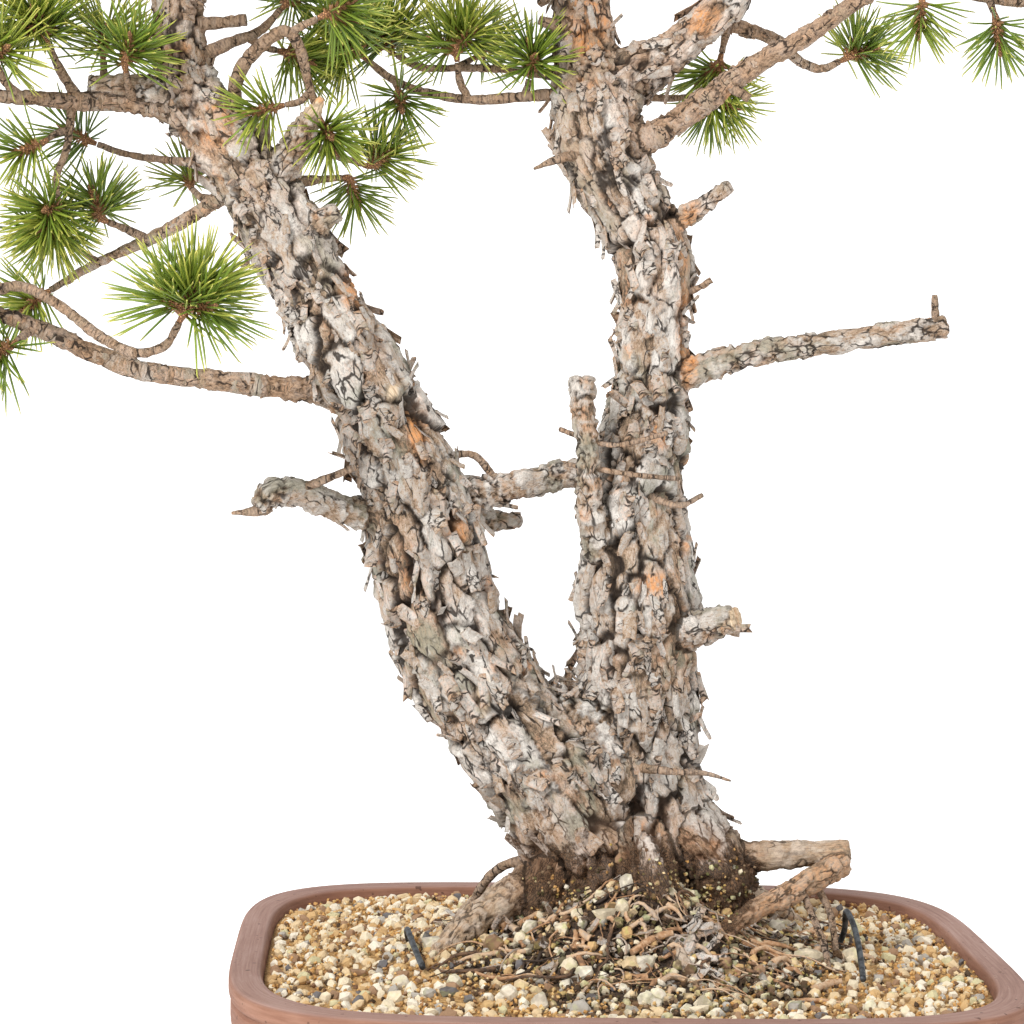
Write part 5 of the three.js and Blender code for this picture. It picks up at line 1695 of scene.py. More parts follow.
@dataclass
class Wood:
    """Trunks, roots, stubs, boughs and twigs, with their bark.

    Attributes:
        grain_size: The mesh size of the thick wood.
        joint_heights: Where the thick wood's mesh is parted.
        thin_step: The mesh size along thin boughs.
        thin_below: Limbs that start slimmer than this are made as thin ones.
        sunk_roots: Roots that lie mostly buried.
        sawn_stubs: Stubs that end in a flat cut.
        relief: The bark's relief.
        finish: The bark's finish.
    """

    grain_size: float = 1.45
    joint_heights: tuple[float, ...] = (236.0, 400.0)
    thin_step: float = 1.7
    thin_below: float = 4.5
    sunk_roots: tuple[int, ...] = (7, 8, 11, 12)
    sawn_stubs: tuple[int, ...] = (7,)
    relief: BarkRelief = field(
        default_factory=lambda: BarkRelief(
            broken_patches=(
                Patch((29, -8, 453), (9, 20, 30)), Patch((29, -8, 400), (8, 20, 34)),
                Patch((12, -22, 277), (12, 12, 9)), Patch((-203, -12, 495), (12, 14, 16)),
                Patch((-214, -8, 456), (8, 16, 9)), Patch((35, 6, 556), (12, 14, 12)),
                Patch((-22, 14, 560), (14, 16, 34)), Patch((-258, -22, 386), (14, 10, 10)),
                Patch((-103, -32, 352), (7, 12, 24)), Patch((-136, -22, 420), (9, 16, 18)),
                Patch((-86, -26, 300), (9, 12, 16)), Patch((-8, -24, 330), (8, 12, 12)),
                Patch((16, -20, 352), (9, 12, 12)), Patch((-152, -27, 512), (8, 8, 6)),
            ),
            bare_patches=(
                Patch((-153, -27, 509), (9, 10, 14)), Patch((-116, -36, 369), (4, 8, 6)),
                Patch((-70, -34, 222), (5, 10, 12)),
            ),
        )
    )
    finish: BarkFinish = field(default_factory=BarkFinish)

    def limbs(self) -> list[tuple[tuple[Place, ...], Skin, bool]]:
        """All limbs: their points, their kind of surface, and whether their end is cut.

        Returns:
            The limbs.
        """
        found: list[tuple[tuple[Place, ...], Skin, bool]] = []
        found += [(points, Skin.BARK, False) for points in TRUNKS]
        for i, points in enumerate(ROOTS):
            skin = Skin.BURIED if i < 5 else Skin.ROOT
            if i == 6:
                skin = Skin.RUBBED_ROOT
            if i in self.sunk_roots:
                points = tuple((x, y, z - 4, 0.62 * radius) for x, y, z, radius in points)
            found.append((points, skin, False))
        for i, points in enumerate(STUBS):
            skin = Skin.TWIG if points[0][3] < 5 else Skin.STUB
            found.append((points, skin, i in self.sawn_stubs))
        found += [(points, Skin.TWIG, False) for points in (*BOUGHS.values(), SLIVER)]
        found += [(twig, Skin.TWIG, False) for twig, *_ in SPRAYS if not isinstance(twig, str)]
        return found

    def thick_body(self) -> tuple[Piece, Surface]:
        """Grows the thick limbs into one skin.

        Returns:
            The skin, still smooth, and where its corners lie.
        """
        thick = [limb for limb in self.limbs() if limb[0][0][3] >= self.thin_below]
        shapes = []
        for number, (points, _skin, _cut) in enumerate(thick):
            route = Route.through(points, max(2.0, 0.22 * points[0][3]))
            places = route.centres[:, None] + route.radii[:, None, None] * ways_round(route, 22)
            lump = np.clip(0.8 * points[0][3], 6.0, 24.0)
            bulge = clouds(places.reshape(-1, 3) / lump, 5 + number, 2).reshape(places.shape[:2])
            swell = 0.1 if points[0][3] > 14 else 0.24
            shapes.append(tube(route, 22, route.radii[:, None] * (0.98 + swell * bulge)))
        corners, faces = joined_shapes(shapes)
        rough = mesh_object("thick_wood", corners, faces)
        fuse = rough.modifiers.new("fuse", "REMESH")
        fuse.mode = "VOXEL"
        fuse.voxel_size = self.grain_size * MM
        ease = rough.modifiers.new("ease", "SMOOTH")
        ease.factor = 0.5
        ease.iterations = 5
        body = baked_copy("wood_body", rough)
        return body, self.surface_of(corner_values(body.data, "co"), thick)

    @staticmethod
    def surface_of(places: Array, limbs: Sequence[tuple[tuple[Place, ...], Skin, bool]]) -> Surface:
        """Finds the limb that each corner belongs to, and its place on it.

        Args:
            places: The corners in metres.
            limbs: The limbs.

        Returns:
            Where each corner lies.
        """
        points = (places - CENTRE) / MM
        routes = [Route.through(limb[0], 2.0) for limb in limbs]
        names = ("centres", "radii", "along", "aside", "over", "lengths")
        joined = (np.concatenate([getattr(route, name) for route in routes]) for name in names)
        centres, radii, along, aside, over, lengths = joined
        number = np.concatenate([np.full(len(r.radii), i) for i, r in enumerate(routes)])
        last = np.concatenate([np.arange(len(r.radii)) == len(r.radii) - 1 for r in routes])
        blunt = last & np.array([limb[2] for limb in limbs])[number]
        best = np.empty(len(points), np.int64)
        squares = (centres**2).sum(axis=1)
        batch = 12000
        for start in range(0, len(points), batch):
            part = points[start : start + batch]
            gaps = (part**2).sum(axis=1)[:, None] + squares - 2 * part @ centres.T
            room = np.sqrt(np.maximum(gaps, 0)) - radii
            best[start : start + batch] = np.argmin(room, axis=1)
        offset = points - centres[best]
        ahead = (offset * along[best]).sum(axis=1)
        across = np.stack([(offset * aside[best]).sum(1), (offset * over[best]).sum(1)], axis=1)
        skins = np.array([SKINS.index(limb[1]) for limb in limbs])
        return Surface(
            points=points, across=across, run=lengths[best] + ahead, girth=radii[best], way=along[best],
            skin=skins[number[best]], limb=number[best], beyond=np.where(blunt[best], ahead, -9.0),
        )

    def raise_bark(self, piece: Piece, on: Surface) -> None:
        """Moves a piece's corners out or in to make its bark, and marks them.

        Args:
            piece: The smooth piece.
            on: Where its corners lie.
        """
        found = self.relief.plates(on)
        normals = corner_values(piece.data, "normal")
        lift = found.pop("lift")
        places = (on.points + normals * lift[:, None]) * MM + CENTRE
        piece.data.vertices.foreach_set("co", places.astype(np.float32).ravel())
        for name, values in found.items():
            mark(piece.data, name, values)
        piece.data.polygons.foreach_set("use_smooth", [True] * len(piece.data.polygons))
        piece.data.update()

    def lengths_of(self, body: Piece) -> list[Piece]:
        """Parts the thick wood across, in closed pieces.

        Args:
            body: The whole thick wood, which is used up.

        Returns:
            The pieces, the lowest first.
        """
        made = []
        levels = (None, *self.joint_heights, None)
        for low, high, name in zip(levels, levels[1:], ("wood_foot", "wood_middle", "wood_top")):
            work = bmesh.new()
            work.from_mesh(body.data)
            for level, below in ((low, False), (high, True)):
                if level is not None:
                    self._cut_across(work, level * MM, below)
            mesh = bpy.data.meshes.new(name)
            work.to_mesh(mesh)
            work.free()
            made.append(linked(name, mesh))
        bpy.data.objects.remove(body)
        return made

    @staticmethod
    def _cut_across(work: bmesh.types.BMesh, level: float, keep_below: bool) -> None:
        """Cuts a mesh flat at a height, keeps one side and closes it.

        Args:
            work: The mesh.
            level: The height in metres.
            keep_below: Whether the lower side stays.
        """
        bmesh.ops.bisect_plane(
            work, geom=work.verts[:] + work.edges[:] + work.faces[:], plane_co=(0, 0, level),
            plane_no=(0, 0, 1), clear_outer=keep_below, clear_inner=not keep_below,
        )
        rim = [edge for edge in work.edges if edge.is_boundary]
        lids = bmesh.ops.holes_fill(work, edges=rim, sides=0)["faces"]
        for lid in lids:
            lid.smooth = False
            for edge in lid.edges:
                edge.smooth = False
        bmesh.ops.triangulate(work, faces=lids)

    def thin_limbs(self) -> Piece:
        """Makes the boughs and twigs, ringed with cracks, as one piece.

        Returns:
            The piece.
        """
        limbs = [limb for limb in self.limbs() if limb[0][0][3] < self.thin_below or limb[1] == Skin.TWIG]
        shapes, tables = [], []
        for number, (points, _skin, cut) in enumerate(limbs):
            route = Route.through(points, self.thin_step)
            sides = 10 if points[0][3] > 3.5 else 8
            ways = ways_round(route, sides)
            seed = route.centres[:, None] / 9.0 + 3.0 * ways
            knobs = clouds(seed.reshape(-1, 3), 201, 2).reshape(ways.shape[:2])
            joint = route.lengths[:, None] / (1.4 * points[0][3] + 2.5) + 0.5 * knobs + number * 7.3
            ring = np.abs(joint - np.round(joint))
            groove = 1 - smooth(ring, 0.0, 0.16)
            cells = [np.round(joint), np.round(ways[..., 0]), np.full_like(joint, number)]
            plate = cell_share(np.stack(cells, -1).astype(np.int64), 9)
            reach = route.radii[:, None] * (0.98 + 0.16 * knobs - 0.2 * groove + 0.16 * (plate - 0.5))
            corners, faces = tube(route, sides, reach)
            shapes.append((corners, faces))
            slim = points[0][3] < 5
            # The relief and edge marks also paint shade into the ring grooves, through the bark finish.
            relief = (0.55 + 0.5 * knobs - 0.4 * groove).ravel()
            tables.append(
                {
                    "relief": np.append(relief - (0.3 if points[0][3] > 4.8 else 0.0), [0.5, 0.5]),
                    "edge": np.append(0.02 + 0.5 * smooth(ring, 0.02, 0.2).ravel(), [0.5, 0.5]),
                    "tint": np.append(plate.ravel(), [0.5, 0.5]),
                    "broken": np.append(0.25 * smooth(knobs, 0.2, 0.6).ravel(), [0.0, 0.0]),
                    "bare": np.append(0 * relief, [0.0, 0.9 if cut else 0.0]),
                    "young": np.full(len(corners), 0.9 if slim else 0.3),
                    "grain": self._along(route, ways, number, len(corners)),
                }
            )
        corners, faces = joined_shapes(shapes)
        piece = mesh_object("boughs", corners, faces)
        for name in tables[0]:
            mark(piece.data, name, np.concatenate([table[name] for table in tables]))
        return piece

    @staticmethod
    def _along(route: Route, ways: Array, number: int, count: int) -> Array:
        """Coordinates that follow a thin limb, so that its bark is ringed with cracks."""
        run = np.broadcast_to(2.6 * route.lengths[:, None, None], (*ways.shape[:2], 1))
        grain = np.concatenate([ways[..., :2] * route.radii[:, None, None], run], axis=2)
        grain = grain.reshape(-1, 3) + 40.0 * number
        return np.concatenate([grain, grain[:1], grain[-1:]])[:count]

    def flakes(self, body: Piece) -> Piece:
        """Sets half-loose flakes on the bark.

        Args:
            body: The thick wood with its marks.

        Returns:
            All flakes as one piece.
        """
        store = shape_store("flake_shapes", [self.flake_shape(i) for i in range(4)])
        host = body.copy()
        host.data = body.data.copy()
        bpy.context.scene.collection.objects.link(host)
        inputs = {
            "Shapes": store, "Density": 12000.0, "Seed": 12, "Least Peel": 0.02, "Most Peel": 0.3,
            "Smallest": 0.55, "Largest": 1.3, "Finish": self.finish.material(),
        }
        made = flake_tree().grow("bark_flakes", host, inputs)
        clear_store(store)
        return made

    @staticmethod
    def flake_shape(number: int) -> Piece:
        """One thin ragged curl of bark, with its foot at the origin.

        Args:
            number: Picks its rags.

        Returns:
            The shape.
        """
        columns, rows, count = 3, 4, 12
        length, width, thickness = 13.0, 6.5, 0.5
        corners = []
        for level in (0.0, 1.0):
            for row in range(rows):
                for column in range(columns):
                    up = row / (rows - 1)
                    side = column / (columns - 1) - 0.5
                    rag = cell_share(np.array([[row, column, number]]), 17)[0] - 0.5
                    x = side * width * (1 - 0.35 * abs(up - 0.45)) + 1.5 * rag
                    y = up * length + (2.4 * rag if row in (0, rows - 1) else 0.0) - 2.0
                    z = 1.6 * (0.25 - side * side) * 2 + 1.4 * (up - 0.2) ** 2 - 0.5
                    inset = 0.8 if level else 1.0
                    middle = length * 0.45
                    corners.append((x * inset, middle + (y - middle) * inset, z + level * thickness))
        faces: Faces = []
        for row in range(rows - 1):
            for column in range(columns - 1):
                a = row * columns + column
                quad = (a, a + 1, a + columns + 1, a + columns)
                faces.append(tuple(reversed(quad)))
                faces.append(tuple(i + count for i in quad))
        rim = [*range(columns), *range(2 * columns - 1, count, columns)]
        rim += [*range(count - 2, count - columns - 1, -1), *range(count - 2 * columns, 0, -columns)]
        for a, b in zip(rim, rim[1:] + rim[:1]):
            faces.append((a, b, b + count, a + count))
        mesh = bpy.data.meshes.new(f"flake_{number}")
        mesh.from_pydata((np.array(corners) * MM).tolist(), [], faces)
        relief = [0.3 + 0.25 * (i >= count) + 0.1 * ((i * 7) % 5) / 5 for i in range(2 * count)]
        mark(mesh, "relief", np.array(relief))
        mark(mesh, "edge", np.full(2 * count, 0.4))
        mark(mesh, "broken", np.array([0.0 if i >= count else 0.15 for i in range(2 * count)]))
        mark(mesh, "bare", np.zeros(2 * count))
        mark(mesh, "grain", np.array(corners) + 31.0 * number)
        return linked(f"flake_{number}", mesh)

    def build(self) -> list[Piece]:
        """Makes all the wood.

        Returns:
            Its pieces.
        """
        body, on = self.thick_body()
        self.raise_bark(body, on)
        flakes = self.flakes(body)
        pieces = [*self.lengths_of(body), self.thin_limbs(), flakes]
        for piece in pieces:
            self.finish.dress(piece)
            settle(piece, "bark", "wood")
        return pieces


# The sprays


@dataclass(frozen=True)
class Shoot:
    """One leafy shoot.

    Attributes:
        route: Its line, in millimetres.
        bare: The share of it, from its foot, that has no needles.
        needle: How long its needles are.
    """

    route: Route
    bare: float
    needle: float


TRUNK_ENDS = ("trunk_0", "trunk_1", "trunk_2")


def around(axis: Array, angle: float, turn: float) -> Array:
    """A way that leans from an axis by an angle, turned round it.

    Args:
        axis: The axis.
        angle: The lean.
        turn: How far round it leans.

    Returns:
        The way.
    """
    helper = np.array([0.0, 0.0, 1.0]) if abs(axis[2]) < 0.9 else np.array([1.0, 0.0, 0.0])
    across = unit(np.cross(axis, helper))
    other = np.cross(axis, across)
    sideways = across * math.cos(turn) + other * math.sin(turn)
    return axis * math.cos(angle) + sideways * math.sin(angle)


@dataclass
class Sprays:
    """Sprays of needles on their shoots.

    Attributes:
        band: The length of one ring of the part's shoots.
        bend: How far a spray's foot leads on from its twig before it turns.
        core: A shoot's radius where it forks, where its needles start and at its tip.
        pairs: How many pairs of needles a shoot has.
        needle_radius: A needle's thickness, halved.
        parts: How many pieces the needles are parted into.
        finish: The needles' finish.
        shoot_finish: The shoots' finish.
    """

    band: float = 4.2
    bend: float = 3.2
    core: Place = (1.3, 2.2, 1.3)
    pairs: int = 28
    needle_radius: float = 0.62
    parts: int = 5
    finish: NeedleFinish = field(default_factory=NeedleFinish)
    shoot_finish: ShootFinish = field(default_factory=ShootFinish)

    def spray_shoots(self) -> list[list[Shoot]]:
        """Finds the shoots of each spray, as in the part, and adds one shoot to the full ones.

        Returns:
            The shoots of each spray.
        """
        draw = seeded_draw(20264)
        found = []
        for source, towards, count, needle in SPRAYS:
            points = TRUNKS[int(source[-1])] if source in TRUNK_ENDS else source
            points = BOUGHS[points] if isinstance(points, str) else points
            twig = Route.through(points, 1.0)
            outward = unit(twig.centres[-1] - twig.centres[-2])
            axis = unit(np.array(towards, float))
            start = twig.centres[-1] + 0.35 * outward
            bend = start + self.bend * outward
            length = 4 * self.band - self.bend
            line = [start, bend, bend + axis * length / 2, bend + axis * length]
            shoots = [self._shoot(line, 1 / 4, needle)]
            first_turn = draw() * 2 * math.pi
            for i in range(1, count):
                turn = first_turn + 2 * math.pi * (i + 0.3 * draw()) / (count - 1)
                lean = math.radians(46 + 16 * draw())
                way = around(axis, lean, turn)
                fork = bend + axis * 3 * (i - 1)
                middle = fork + way * 1.5 * self.band + axis * 0.6
                shoots.append(self._shoot([fork, middle, fork + way * 3 * self.band], 1 / 3, needle))
            if count > 2:
                way = around(axis, math.radians(30), first_turn + 1.1)
                fork = bend + axis * 4
                shoots.append(self._shoot([fork, fork + way * 5, fork + way * 11], 0.4, needle))
            found.append(shoots)
        return found

    def _shoot(self, line: Sequence[Array], bare: float, needle: float) -> Shoot:
        """Draws one shoot with its thickness."""
        route = Route.through([(*point, 1.0) for point in line], 1.0)
        share = route.lengths / route.lengths[-1]
        return Shoot(replace(route, radii=np.interp(share, (0, 1 / 3, 1), self.core)), bare, needle)

    def shoot_stems(self, sprays: Sequence[Sequence[Shoot]]) -> Piece:
        """Makes the shoots' stems and their buds as one piece.

        Args:
            sprays: The shoots of each spray.

        Returns:
            The piece.
        """
        corners, edges, thickness = [], [], []
        for shoot in (shoot for shoots in sprays for shoot in shoots):
            route = shoot.route
            tip, way = route.centres[-1], route.along[-1]
            bud = [tip + way * s for s in (1.2, 2.6, 4.2, 5.6, 6.6)]
            first = len(corners)
            corners.extend([*route.centres, *bud])
            thickness.extend([*route.radii, 1.5, 1.75, 1.4, 0.8, 0.2])
            edges.extend((i, i + 1) for i in range(first, len(corners) - 1))
        inputs = {"Sides": 6, "Step": 0.0014, "Roughness": 0.5, "Grain": 900.0}
        inputs["Finish"] = self.shoot_finish.material()
        marks = {"thickness": np.array(thickness) * MM}
        return tubes("shoots_and_buds", corners, edges, marks, inputs)

    def needle_shape(self, number: int) -> Piece:
        """A pair of needles in its sheath, 30 mm long, standing on the origin.

        Args:
            number: Picks how it spreads and curls.

        Returns:
            The shape.
        """
        spread = (0.075, 0.115, 0.15, 0.095)[number]
        curl = (0.5, -0.8, 1.6, 2.4)[number]
        shapes, shares = [], []
        for side in (-1, 1):
            heights = np.array([1.5, 10.0, 20.0, 26.5])
            bow = spread * heights + 0.0022 * heights**2 * (1.0 + 0.3 * number)
            centres = np.column_stack([side * bow * 0.8 + 0.35 * side, 0.02 * curl * heights, heights])
            tip = np.array([side * (spread * 30 + 2.0) * 0.8, 0.024 * curl * 30, 30.0 - 0.4 * number])
            rings = []
            for middle, thick in zip(centres, (0.75, 1.0, 0.9, 0.6)):
                for turn in (0.5, 2.6, 4.7):
                    way = np.array([math.cos(turn), math.sin(turn), 0.0])
                    rings.append(middle + way * thick * self.needle_radius)
            corners = np.array([*rings, tip])
            faces = [(2, 1, 0)]
            for ring in range(3):
                for j in range(3):
                    a, b = ring * 3 + j, ring * 3 + (j + 1) % 3
                    faces.append((a, b, b + 3, a + 3))
            faces += [(9 + j, 9 + (j + 1) % 3, 12) for j in range(3)]
            shapes.append((corners, faces))
            shares.append(np.append(np.repeat(heights / 30, 3), 1.0))
        turns = np.arange(4) * math.pi / 2
        foot = [np.array([math.cos(t) * 0.8, math.sin(t) * 0.8, -0.4]) for t in turns]
        head = [np.array([math.cos(t) * 0.95, math.sin(t) * 0.8, 2.6]) for t in turns]
        sheath = [(j, (j + 1) % 4, (j + 1) % 4 + 4, j + 4) for j in range(4)]
        shapes.append((np.array([*foot, *head]), [*sheath, (3, 2, 1, 0), (4, 5, 6, 7)]))
        shares.append(np.zeros(8))
        corners, faces = joined_shapes(shapes)
        mesh = bpy.data.meshes.new(f"needle_pair_{number}")
        mesh.from_pydata((corners * MM).tolist(), [], faces)
        mesh.polygons.foreach_set("use_smooth", [True] * len(mesh.polygons))
        mark(mesh, "length_share", np.concatenate(shares))
        return linked(mesh.name, mesh)

    def needles(self, name: str, shoots: Sequence[Shoot], store: Store, seed: int) -> Piece:
        """Sets pairs of needles round some shoots.

        Args:
            name: The piece's name.
            shoots: The shoots.
            store: The pairs to pick from.
            seed: Picks how they fall.

        Returns:
            The piece.
        """
        random = np.random.default_rng(seed)
        rows = Rows()
        for shoot in shoots:
            route = shoot.route
            turn = random.uniform(0, 2 * math.pi)
            shade = random.uniform(0.1, 0.75)
            for i in range(self.pairs):
                grown = (i + random.uniform(0, 0.8)) / self.pairs
                share = shoot.bare + (1 - shoot.bare) * grown
                at = share * (len(route.centres) - 1)
                low = min(int(at), len(route.centres) - 2)
                part = at - low
                axis = route.along[low]
                turn += 2.4 + random.uniform(-0.25, 0.25)
                lean = math.radians(84 - 50 * grown + random.uniform(-9, 9))
                way = around(axis, lean, turn)
                out = unit(way - axis * float(way @ axis))
                place = route.centres[low] * (1 - part) + route.centres[low + 1] * part
                place = place + out * 0.55 * route.radii[low]
                drop = np.array([0, 0, -0.07 * random.uniform(0, 1)])
                length = shoot.needle * random.uniform(0.86, 1.06)
                rows.add(
                    co=place * MM + CENTRE, way=unit(way + drop), spin=random.uniform(0, 2 * math.pi),
                    size=(1.0, 1.0, length / 30),
                    tint=min(1.0, max(0.0, shade + random.uniform(-0.25, 0.25))),
                    kind=int(random.integers(0, 4)),
                )
        return stood_shapes(name, rows, store, self.finish)

    def build(self) -> list[Piece]:
        """Makes all shoots and needles.

        Returns:
            Their pieces.
        """
        sprays = self.spray_shoots()
        nodes = [f"needle_spray_{i + 1:02d}" for i in range(len(sprays))]
        stems = self.shoot_stems(sprays)
        pieces = [settle(stems, "bark", *nodes)]
        store = shape_store("needle_pairs", [self.needle_shape(i) for i in range(4)])
        size = math.ceil(len(sprays) / self.parts)
        for part in range(self.parts):
            chosen = range(part * size, min((part + 1) * size, len(sprays)))
            shoots = [shoot for i in chosen for shoot in sprays[i]]
            piece = self.needles(f"needles_{part + 1}", shoots, store, 50 + part)
            pieces.append(settle(piece, "needles", *(nodes[i] for i in chosen)))
        clear_store(store)
        return pieces


@dataclass
class Rows:
    """What is held at each point of a scatter: co in metres, way, spin, size, tint, kind and more."""

    held: dict[str, list[object]] = field(default_factory=dict)
    count: int = 0

    def add(self, **row: object) -> None:
        """Adds one point."""
        for key, value in row.items():
            self.held.setdefault(key, []).append(value)
        self.count += 1


def stood_shapes(name: str, rows: Rows, store: Store, finish: Finish) -> Piece:
    """Stands shapes from a store on points and makes one plain piece of them.

    Args:
        name: The piece's name.
        rows: The points.
        store: The shapes to pick from.
        finish: The piece's finish.

    Returns:
        The piece.
    """
    mesh = bpy.data.meshes.new(name + "_points")
    mesh.from_pydata(np.array(rows.held["co"]).tolist(), [], [])
    for key, values in rows.held.items():
        if key == "kind":
            mesh.attributes.new(key, "INT", "POINT").data.foreach_set("value", list(values))
        elif key != "co":
            mark(mesh, key, np.array(values, float))
    inputs = {"Shapes": store, "Finish": finish.material()}
    made = standing_tree().grow(name, linked(name + "_points", mesh), inputs)
    for extra in ("way", "spin", "size", "kind"):
        layer = made.data.attributes.get(extra)
        if layer:
            made.data.attributes.remove(layer)
    return made


# Pot, soil and what lies on it


@dataclass(frozen=True)
class PotForm:
    """The pot's outline, shared by the pot and its soil.

    Attributes:
        half_width: Half its width over the rim.
        half_depth: Half its depth.
        squareness: How square the outline is; 2 would be an ellipse.
    """

    half_width: float = 190.0
    half_depth: float = 177.0
    squareness: float = 4.5

    def outline(self, turns: Array, inset: Array | float) -> Array:
        """Places on the outline, moved inwards.

        Args:
            turns: Angles round the pot.
            inset: How far inside the rim's outer edge.

        Returns:
            The x and y of each place.
        """
        across, along = np.cos(turns), np.sin(turns)
        spread = np.abs(across) ** self.squareness + np.abs(along) ** self.squareness
        reach = spread ** (-1 / self.squareness)
        x = (self.half_width - inset) * across * reach
        return np.stack([x, (self.half_depth - inset) * along * reach], axis=-1)

    def inset(self, x: Array, y: Array) -> Array:
        """How far inside the rim's outer edge each place lies."""
        power = self.squareness
        share = (np.abs(x / self.half_width) ** power + np.abs(y / self.half_depth) ** power) ** (1 / power)
        return (1 - share) * (self.half_width + self.half_depth) / 2

    def turned(self, profile: Sequence[Place], sides: int, height: Callable | None = None) -> Shape:
        """A closed body from a profile that starts and ends at the middle.

        Args:
            profile: The inset and height of each place, from the underside out and back in.
            sides: How many corners each ring has.
            height: Gives each corner's height from x, y and the profile's height.

        Returns:
            The corners and the faces.
        """
        turns = np.arange(sides) * 2 * np.pi / sides
        rings = []
        for inset, level in profile[1:-1]:
            flat = self.outline(turns, inset)
            levels = np.full(sides, float(level))
            if height:
                levels = height(flat[:, 0], flat[:, 1], levels)
            rings.append(np.column_stack([flat, levels]))
        ends = []
        for _inset, level in (profile[0], profile[-1]):
            level = np.array([float(level)])
            ends.append([0.0, 0.0, float((height(level * 0, level * 0, level) if height else level)[0])])
        corners = np.vstack([*rings, ends])
        count = len(rings)
        first, last = count * sides, count * sides + 1
        faces: Faces = []
        for j in range(sides):
            k = (j + 1) % sides
            faces.append((first, k, j))
            for i in range(count - 1):
                a, b = i * sides, (i + 1) * sides
                faces.append((a + j, a + k, b + k, b + j))
            faces.append((last, (count - 1) * sides + j, (count - 1) * sides + k))
        return corners, faces


POT = PotForm()


def eased(points: Sequence[Place], radius: float, steps: int = 4) -> list[Place]:
    """A line with its corners rounded.

    Args:
        points: The line's corners.
        radius: How far from a corner its rounding starts.
        steps: How many places each rounding gets.

    Returns:
        The rounded line.
    """
    line = np.array(points, float)
    found = [tuple(line[0])]
    for before, corner, after in zip(line, line[1:], line[2:]):
        back, on = before - corner, after - corner
        start = corner + unit(back) * min(radius, 0.45 * float(np.linalg.norm(back)))
        end = corner + unit(on) * min(radius, 0.45 * float(np.linalg.norm(on)))
        for share in np.linspace(0, 1, steps):
            first = start * (1 - share) + corner * share
            found.append(tuple(first * (1 - share) + (corner * (1 - share) + end * share) * share))
    found.append(tuple(line[-1]))
    return found


@dataclass
class Pot:
    """The unglazed pot with its feet and drains.

    Attributes:
        sides: How many corners its outline has.
        wall: Inset and height from the underside out over the rim and down to the floor.
        foot_place: The middle of a foot.
        foot_size: Its width and depth.
        drain_place: How far a drain is from the pot's middle.
        drain_radius: A drain's radius.
        finish: Its finish.
    """

    sides: int = 240
    wall: tuple[Place, ...] = (
        (31, 12), (25.4, 16.2), (21, 21), (15.6, 28.6), (11, 38), (6, 51.5), (2.7, 64), (1, 76),
        (1, 83.6), (3, 85), (0, 87.6), (0, 93.4), (1.6, 95), (14, 95), (15.4, 93.6), (26, 40), (40, 22),
    )
    foot_place: Place = (112.0, 102.0)
    foot_size: Place = (52.0, 44.0)
    drain_place: float = 85.0
    drain_radius: float = 11.0
    finish: StonewareFinish = field(default_factory=StonewareFinish)

    def foot(self, across: int, along: int) -> Piece:
        """One foot with rounded corners.

        Args:
            across: Its side, -1 or 1.
            along: Front or back, -1 or 1.

        Returns:
            Its body.
        """
        form = PotForm(self.foot_size[0] / 2, self.foot_size[1] / 2, 4.0)
        profile = [(form.half_width, 0), (1.6, 0), (0.4, 0.5), (0, 1.8), (0, 16), (form.half_width, 16)]
        corners, faces = form.turned(profile, 48)
        place = [across * self.foot_place[0], along * self.foot_place[1], 0]
        return mesh_object("foot", corners + place, faces)

    def drain(self, side: int) -> Piece:
        """The body of one drain, to be taken out of the pot."""
        line = Route.through([(side * self.drain_place, 0, z, self.drain_radius) for z in (2, 16, 30)], 7)
        return mesh_object("drain", *tube(line, 32))

    def build(self) -> list[Piece]:
        """Makes the pot.

        Returns:
            Its one piece.
        """
        middle = POT.half_width
        profile = [(middle, 12), *eased(self.wall, 1.1), (middle, 22)]
        body = mesh_object("pot_body", *POT.turned(profile, self.sides))
        helpers = [(self.foot(a, b), "UNION") for a in (-1, 1) for b in (-1, 1)]
        helpers += [(self.drain(side), "DIFFERENCE") for side in (-1, 1)]
        for helper, operation in helpers:
            step = body.modifiers.new(operation, "BOOLEAN")
            step.operation = operation
            step.object = helper
            step.solver = "EXACT"
        piece = baked_copy("stoneware_pot", body)
        for helper, _operation in helpers:
            bpy.data.objects.remove(helper)
        points = (corner_values(piece.data, "co") - CENTRE) / MM
        inset = POT.inset(points[:, 0], points[:, 1])
        top = smooth(points[:, 2], 93.6, 94.9) * smooth(inset, 0.2, 1.2)
        mark(piece.data, "rim_top", top)
        run = np.column_stack([points[:, 0] * 0.03, points[:, 1] * 0.03, inset * 1.1])
        mark(piece.data, "brush", run)
        self.finish.dress(piece)
        return [settle(piece, "stoneware", "pot")]


def damp_share(x: Array, y: Array) -> Array:
    """How dark and humus-rich the soil is at each place."""
    wander = 16 * cloud(np.column_stack([x / 26, y / 26, 0 * x]), 301)
    reach = np.hypot(x - 8, 0.85 * (y + 28)) + wander
    return 1 - smooth(reach, 54, 122)


@dataclass(frozen=True)
class Mound:
    """A soft mound of soil.

    Attributes:
        height: How high it is, in millimetres.
        centre: Its middle's x and y.
        reach: How far it spreads.
        narrow: How much less it spreads along x and along y.
    """

    height: float
    centre: Place
    reach: float
    narrow: Place

    def rise(self, x: Array, y: Array) -> Array:
        """How much it lifts the soil at each place."""
        away = np.hypot(self.narrow[0] * (x - self.centre[0]), self.narrow[1] * (y - self.centre[1]))
        return self.height * np.exp(-((away / self.reach) ** 2))


SOIL_EDGE = 90
PART_MOUND = Mound(30, (0, -4), 88, (1, 1.1))
FRONT_HEAP = Mound(21, (8, -44), 27, (0.75, 1))


